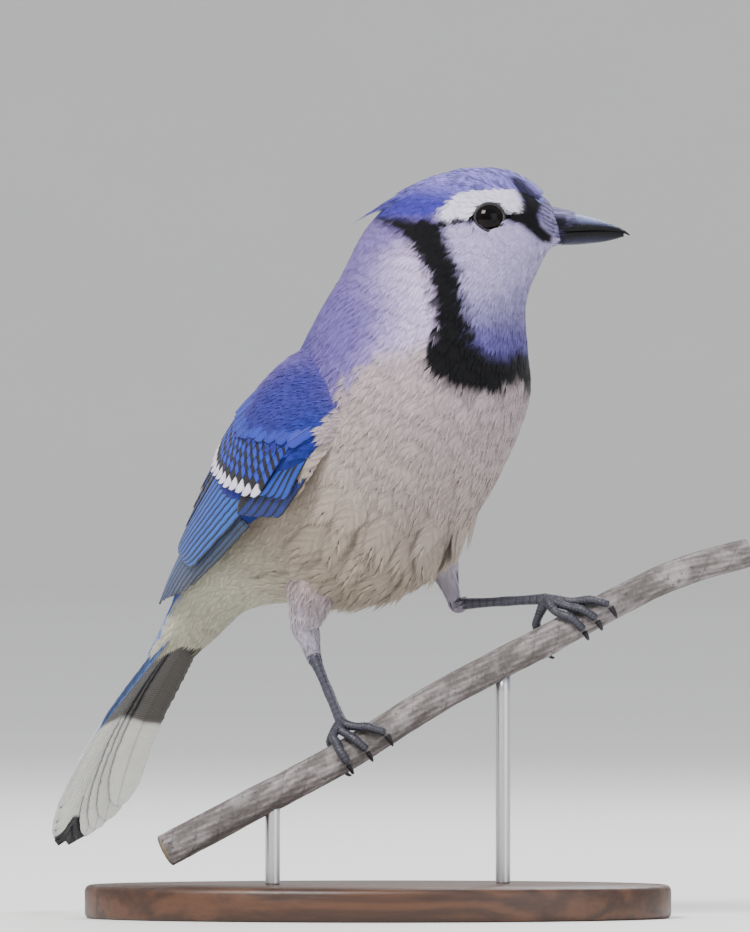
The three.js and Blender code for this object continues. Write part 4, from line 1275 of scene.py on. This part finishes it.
def eye_axes(side):
    """The eyeball's centre, the way the eye looks, and forward and up across that."""
    centre = place(EYE_S, side * (EYE_SURFACE - EYE_DEPTH), EYE_Z, 0.0)
    out = unit(np.array([0.16, side, 0.12]))
    across = unit(np.cross(out, [0, 0, 1.0]))
    return centre, out, across, np.cross(across, out)


def eyeball(name, side):
    centre, out, across, over = eye_axes(side)
    rows, cols = 90, 72
    polar, around = ring_grid(0, math.radians(125), rows, cols)
    polar[0] = math.radians(0.05)
    ray = (np.cos(polar)[..., None] * out + (np.sin(polar) * np.cos(around))[..., None] * across
           + (np.sin(polar) * np.sin(around))[..., None] * over)
    degrees = np.degrees(polar.ravel())
    iris = step(26, 28, degrees) * step(50, 44, degrees)
    fibre = 0.8 + 0.2 * np.sin(around.ravel() * 23)
    piece = mesh_object(f"eyeball_{name}", with_ends(centre + (EYE_BALL - 0.02) * ray, cols),
                        ring_faces(rows, cols), colour=end_rows(blend(PUPIL, IRIS, iris * fibre)))
    dress(piece, EYE, "eye", f"eye_{name}")


def lids(name, side):
    """A bare ring round the eye, a little longer than it is high."""
    centre, out, across, over = eye_axes(side)
    rings, sides = 96, 14
    turn = np.linspace(0, TAU, rings, endpoint=False)
    tube = np.linspace(0, TAU, sides, endpoint=False)
    corner = np.abs(np.cos(turn)) ** 3
    opening = math.sqrt(EYE_BALL**2 - EYE_DEPTH**2)
    almond = opening + 0.16 + 0.25 * corner - 0.12 * np.sin(turn) ** 2
    radial = np.cos(turn)[:, None] * across + np.sin(turn)[:, None] * over
    ring = centre + almond[:, None] * radial + out * (EYE_DEPTH + 0.05 - 0.35 * corner)[:, None]
    thick = 0.6 + 0.04 * np.sin(turn * 31)
    bulge = np.cos(tube)[None, :, None] * radial[:, None, :] + np.sin(tube)[None, :, None] * out
    points = (ring[:, None, :] + thick[:, None, None] * bulge).reshape(-1, 3)
    faces = grid_faces(rings + 1, sides, wrap=True) % len(points)
    dress(mesh_object(f"lids_{name}", points, [faces], colour=even(LID, points)), LEG_SKIN, "head_plumage")


# The bill's stations: s, top, mouth, bottom, half width
BILL = np.array([
    (30, 213.6, 205.2, 201.3, 6.2),
    (33, 213.2, 205.5, 201.5, 6.0),
    (36.4, 212.4, 205.7, 201.7, 5.5),
    (40.5, 211.3, 205.9, 201.8, 5),
    (45, 210.2, 206.1, 202.2, 4.2),
    (49, 209.1, 206.1, 202.7, 3.4),
    (52.5, 207.8, 205.9, 203.5, 2.5),
    (54.8, 206.6, 205.4, 204.2, 1.6),
    (56.8, 205.1, 204.6, 204.3, 0.6),
])
MOUTH_GAP = 0.1
NOSTRIL_S, NOSTRIL_Z = 41.4, 208.8
# The bill is near black; the pale blue-grey is a painted reflection of the sky on its top.
HORN_DARK, HORN_PAINTED_REFLECTION = srgb(8, 8, 11), srgb(116, 122, 164)


def mandible(name, upper):
    rows, cols = 80, 40
    way = 1 if upper else -1
    k, a = ring_grid(1.6, len(BILL) - (1 if upper else 1.9), rows, cols)
    s, top, mouth, bottom, half = np.moveaxis(smooth(BILL, k), -1, 0)
    over, under = np.clip(np.sin(a), 0, 1), np.clip(-np.sin(a), 0, 1)
    edge = mouth + way * MOUTH_GAP / 2
    ridge = top if upper else bottom
    z = edge + (ridge - edge) * over ** (0.85 if upper else 0.95) * 0.99 - way * 0.1 * under
    l = half * (1.0 if upper else 0.86) * np.cos(a)
    if upper:
        l = l * (1 - 0.16 * np.exp(-(((s - NOSTRIL_S) / 1.5) ** 2) - ((z - NOSTRIL_Z) / 0.7) ** 2))
    # Painted reflection of the sky along the top of the bill, fading out towards the tip, faint on the lower
    # mandible.
    share = step(0.25, 0.9, over) * step(56, 44, s) * (1.0 if upper else 0.15)
    colour = end_rows(blend(HORN_DARK, HORN_PAINTED_REFLECTION, share.ravel()))
    piece = mesh_object(name, with_ends(place(s, l, z, 0.0), cols), ring_faces(rows, cols), colour=colour)
    dress(piece, HORN, "bill", "bill_upper" if upper else "bill_lower")


def bill_station(s):
    """Top, mouth, bottom and half width of the bill at s."""
    return (np.interp(s, BILL[:, 0], BILL[:, c]) for c in (1, 2, 3, 4))


def bill_skin(x, w, h):
    """Over the bill's upper half: x forward from its base, w round it in degrees from the right side."""
    s, a = BILL[0, 0] + x, np.radians(w)
    top, mouth, _, half = bill_station(s)
    rise = np.sign(np.sin(a)) * np.abs(np.sin(a)) ** 0.85
    return place(s, -np.cos(a) * (half + h), mouth + (top - mouth + h) * rise, 0.0)


def chin_skin(x, w, h):
    """The same round its lower half, from 1 mm further forward."""
    s, a = BILL[0, 0] + 1 + x, np.radians(w)
    _, mouth, bottom, half = bill_station(s)
    return place(s, -np.cos(a) * (half + h), mouth + (mouth - bottom + h) * np.sin(a), 0.0)


def bristle_colour(x, w):
    side = np.minimum(w, 180 - w)
    base = blend(BRISTLE_DARK, BRISTLE_PALE, step(15, 50, side) * rng.uniform(0.5, 1, x.shape))
    return blend(base, BLACK, step(8.5, 6.5, x) * step(50, 25, side) * 0.9)


def bristles():
    roots = rows_of(0.5, 6.0, 0.7, lambda x: (12, 168), 7)
    lay("bristles", bill_skin, roots, 5.4, 9.0, 0.4, bristle_colour, "head_plumage", ((0, 14), (0, 180)),
        h=(0.1, 0.45), ruffle=0.8)
    chin = rows_of(0.0, 3.5, 0.9, lambda x: (-60, 8), 9)
    chin = np.concatenate([chin, chin * [1, -1] + [0, 180]])
    lay("chin_bristles", chin_skin, chin, 4.2, 9.0, 0.4, lambda x, w: even(BRISTLE_DARK * 0.8, x),
        "head_plumage", ((0, 14), (-60, 240)), h=(0.1, 0.3), ruffle=0.8)


for name, side in SIDES:
    eyeball(name, side)
    lids(name, side)
mandible("bill_top", True)
mandible("bill_under", False)
bristles()


# Perch and stand

def bark(t, angle):
    """The bark's relief: long low ridges, lenticels and two knots."""
    ridge = 0.012 * np.sin(angle * 9 + 40 * t + 2 * np.sin(31 * t)) + 0.01 * np.sin(angle * 17 - 90 * t)
    lumps = 0.02 * np.sin(14 * t + 2 * angle) * np.sin(41 * t + angle)
    pits = -0.03 * (np.sin(angle * 5 + 300 * t) > 0.93) * (np.sin(170 * t + angle * 3) > 0.3)
    knots = 0.0
    for knot_t, knot_a in ((0.66, 1.2), (0.24, 2.2), (0.88, 0.4)):
        turn = (angle - knot_a + np.pi) % TAU - np.pi
        d = np.hypot((t - knot_t) * 190, turn * 4.6)
        knots = knots + 0.1 * np.exp(-((d / 2.3) ** 2)) - 0.12 * np.exp(-((d / 0.9) ** 2))
    return ridge + lumps + pits + knots - 0.015


def bark_material():
    m = Material("bark", 0.85)
    base = m.shade(m.painted(), m.noise(0.9, 6) * 1.1 + 0.42)
    base = m.blend(base, srgb(176, 172, 172), m.noise(0.12, 5).ramp(0.5, 0.66) * 0.4)
    base = m.blend(base, srgb(58, 50, 46), m.voronoi(0.35).ramp(0.16, 0.06) * 0.7)
    relief = m.noise(1.2, 8, roughness=0.7) + m.voronoi(0.5) * 0.4
    return m.set(base, m.noise(0.8, 3) * 0.2 + 0.72, relief, 0.0009)


def perch():
    path = BRANCH_PATH[1:-1]
    sides, count = 96, len(path)
    angles = np.linspace(0, TAU, sides, endpoint=False)
    radii = mix(*BRANCH_RADII, np.linspace(0, 1, count))
    radii[[0, -1]] *= 0.93
    points, faces = tube_mesh(path, radii, sides, rough=bark)
    relief = np.concatenate([bark(k / (count - 1), angles) for k in range(count)])
    share = np.concatenate([step(-0.03, 0.03, relief), [0.5, 0.5]])
    colour = blend(srgb(98, 92, 90), srgb(158, 150, 150), share)
    colour[-2:] = srgb(176, 150, 116)
    dress(mesh_object("perch_bark", points, faces, colour=colour), bark_material(), "bark", "perch")


perch()


BASE_HALF = (88.0, 54.0)
BASE_THICK = 10.0
BASE_EDGE = [(86, 0), (1.5, 0), (0.6, 0.25), (0.15, 0.8), (0.0, 1.6), (0.0, 8.2), (0.25, 9.1), (0.8, 9.7),
             (1.6, 10), (3.4, 10), (3.7, 9.75), (4.3, 9.75), (4.6, 10), (40, 10), (86, 10)]  # (inset, z)
ROD_RADIUS = 2.2
ROD_AT_X = (-31.5, 37.5)


def plinth():
    """An oval wooden base with a rounded edge."""
    wood = Material("stand_wood", 0.4)
    years = wood.noise(0.03, 2, stretch=(0.1, 1.6, 1.6))
    grain = ((years * 40.0).sine() * 0.3 + wood.noise(0.7, 4, stretch=(0.05, 1, 1))).ramp(0.0, 1.0)
    colour = wood.blend(srgb(52, 32, 22), srgb(84, 54, 36), grain)
    material = wood.set(colour, wood.noise(0.3, 3) * 0.2 + 0.32, grain, 0.00008)
    turn = np.linspace(0, TAU, 192, endpoint=False)
    rings = []
    for inset, z in BASE_EDGE:
        half_x, half_y = BASE_HALF[0] - inset, max(BASE_HALF[1] - inset, 0.5)
        rings.append(np.stack([np.cos(turn) * half_x, np.sin(turn) * half_y, 0 * turn + z], 1))
    points = with_ends(np.concatenate(rings), len(turn))
    piece = mesh_object("plinth", points, ring_faces(len(rings), len(turn)))
    dress(piece, material, "stand_wood", "stand_base")


def rods():
    """Two steel rods from the base into the branch."""
    steel = Material("stand_steel", 0.3, Metallic=1.0)
    brushed = steel.noise(0.8, 3, stretch=(1, 1, 0.04))
    colour = steel.blend((0.46, 0.46, 0.48), (0.66, 0.66, 0.68), brushed)
    material = steel.set(colour, brushed * 0.2 + 0.2, brushed, 0.00002)
    foot_z = BASE_THICK + GAP
    for i, x in enumerate(ROD_AT_X):
        k = np.interp(x, BRANCH_PATH[:, 0], np.arange(len(BRANCH_PATH)))
        top = BRANCH_PATH[int(k)]
        high = top[2] - mix(*BRANCH_RADII, k / len(BRANCH_PATH)) * 0.6
        z = np.array([foot_z, foot_z + 0.2, *np.linspace(BASE_THICK + 1, high, 12)])
        radii = np.full(len(z), ROD_RADIUS)
        radii[0] -= 0.2
        points, faces = tube_mesh(np.stack([0 * z + x, 0 * z + top[1], z], 1), radii, 48)
        dress(mesh_object(f"rod_{i + 1}", points, faces), material, "stand_steel", f"stand_rod_{i + 1}")


plinth()
rods()


# Stage, lights and camera

FLOOR_FLAT, FLOOR_CURVE, WALL_HIGH = 14.0, 2.0, 6.0  # metres
LAMPS = (  # place in metres, size, power and colour
    ("key", (-0.9, -1.5, 1.9), 0.9, 92, (1.0, 0.985, 0.96)),
    ("fill", (1.6, -1.6, 0.7), 1.6, 16, (0.93, 0.96, 1.0)),
    ("back", (0.6, 1.3, 1.5), 1.0, 30, (0.95, 0.97, 1.0)),
)
LAMPS_AIM = (0, 0, 0.13)
CAMERA_AWAY = 5.0
SENSOR = 36.0


def bowl():
    """A pale floor that curves up into a round wall far from the bird."""
    bend = np.linspace(0.1, np.pi / 2, 16)
    flat = np.linspace(0.01, FLOOR_FLAT, 12)
    radius = np.concatenate([flat, FLOOR_FLAT + FLOOR_CURVE * np.sin(bend), [FLOOR_FLAT + FLOOR_CURVE]])
    height = np.concatenate([0 * flat, FLOOR_CURVE * (1 - np.cos(bend)), [WALL_HIGH]])
    turn = np.linspace(0, TAU, 96, endpoint=False)
    points = [np.outer(radius, np.cos(turn)), np.outer(radius, np.sin(turn)), np.outer(height, 1 + 0 * turn)]
    points = np.stack(points, -1).reshape(-1, 3) / MM
    middle = np.arange(len(turn))[None, :]
    floor = mesh_object("floor", points, [grid_faces(len(radius), len(turn), wrap=True), middle])
    m = Material("floor_paint", 0.85)
    colour = m.blend((0.80, 0.79, 0.77), (0.84, 0.83, 0.81), m.noise(0.002, 2))
    floor.data.materials.append(m.set(m.shade(colour, m.noise(0.004, 2) * 0.02 + 0.99)))


def lamps():
    for name, spot, size, power, colour in LAMPS:
        light = bpy.data.lights.new(name, "AREA")
        light.size, light.energy, light.color = size, power, colour
        lamp = bpy.data.objects.new(name, light)
        lamp.location = spot
        lamp.rotation_mode = "QUATERNION"
        lamp.rotation_quaternion = (Vector(LAMPS_AIM) - Vector(spot)).to_track_quat("-Z", "Y")
        bpy.context.scene.collection.objects.link(lamp)


def studio():
    world = bpy.data.worlds.new("studio")
    bpy.context.scene.world = world
    world.use_nodes = True
    sky = world.node_tree.nodes["Background"]
    sky.inputs["Color"].default_value = (0.86, 0.88, 0.92, 1)
    sky.inputs["Strength"].default_value = 0.95
    bowl()
    lamps()


def camera():
    """Level with the bird and far off, framed as the photo is."""
    wide, high = PHOTO_SIZE
    data = bpy.data.cameras.new("camera")
    data.sensor_fit = "AUTO"
    data.sensor_width = SENSOR
    data.lens = SENSOR * CAMERA_AWAY / (high * PIXEL * MM)
    data.clip_start, data.clip_end = 0.1, 50
    view = bpy.data.objects.new("camera", data)
    centre_x, centre_z = wide / 2 - PHOTO_ZERO[0], PHOTO_ZERO[1] - high / 2
    view.location = (centre_x * PIXEL * MM, -CAMERA_AWAY, centre_z * PIXEL * MM)
    view.rotation_euler = (math.pi / 2, 0, 0)
    bpy.context.scene.collection.objects.link(view)
    bpy.context.scene.camera = view


studio()
camera()
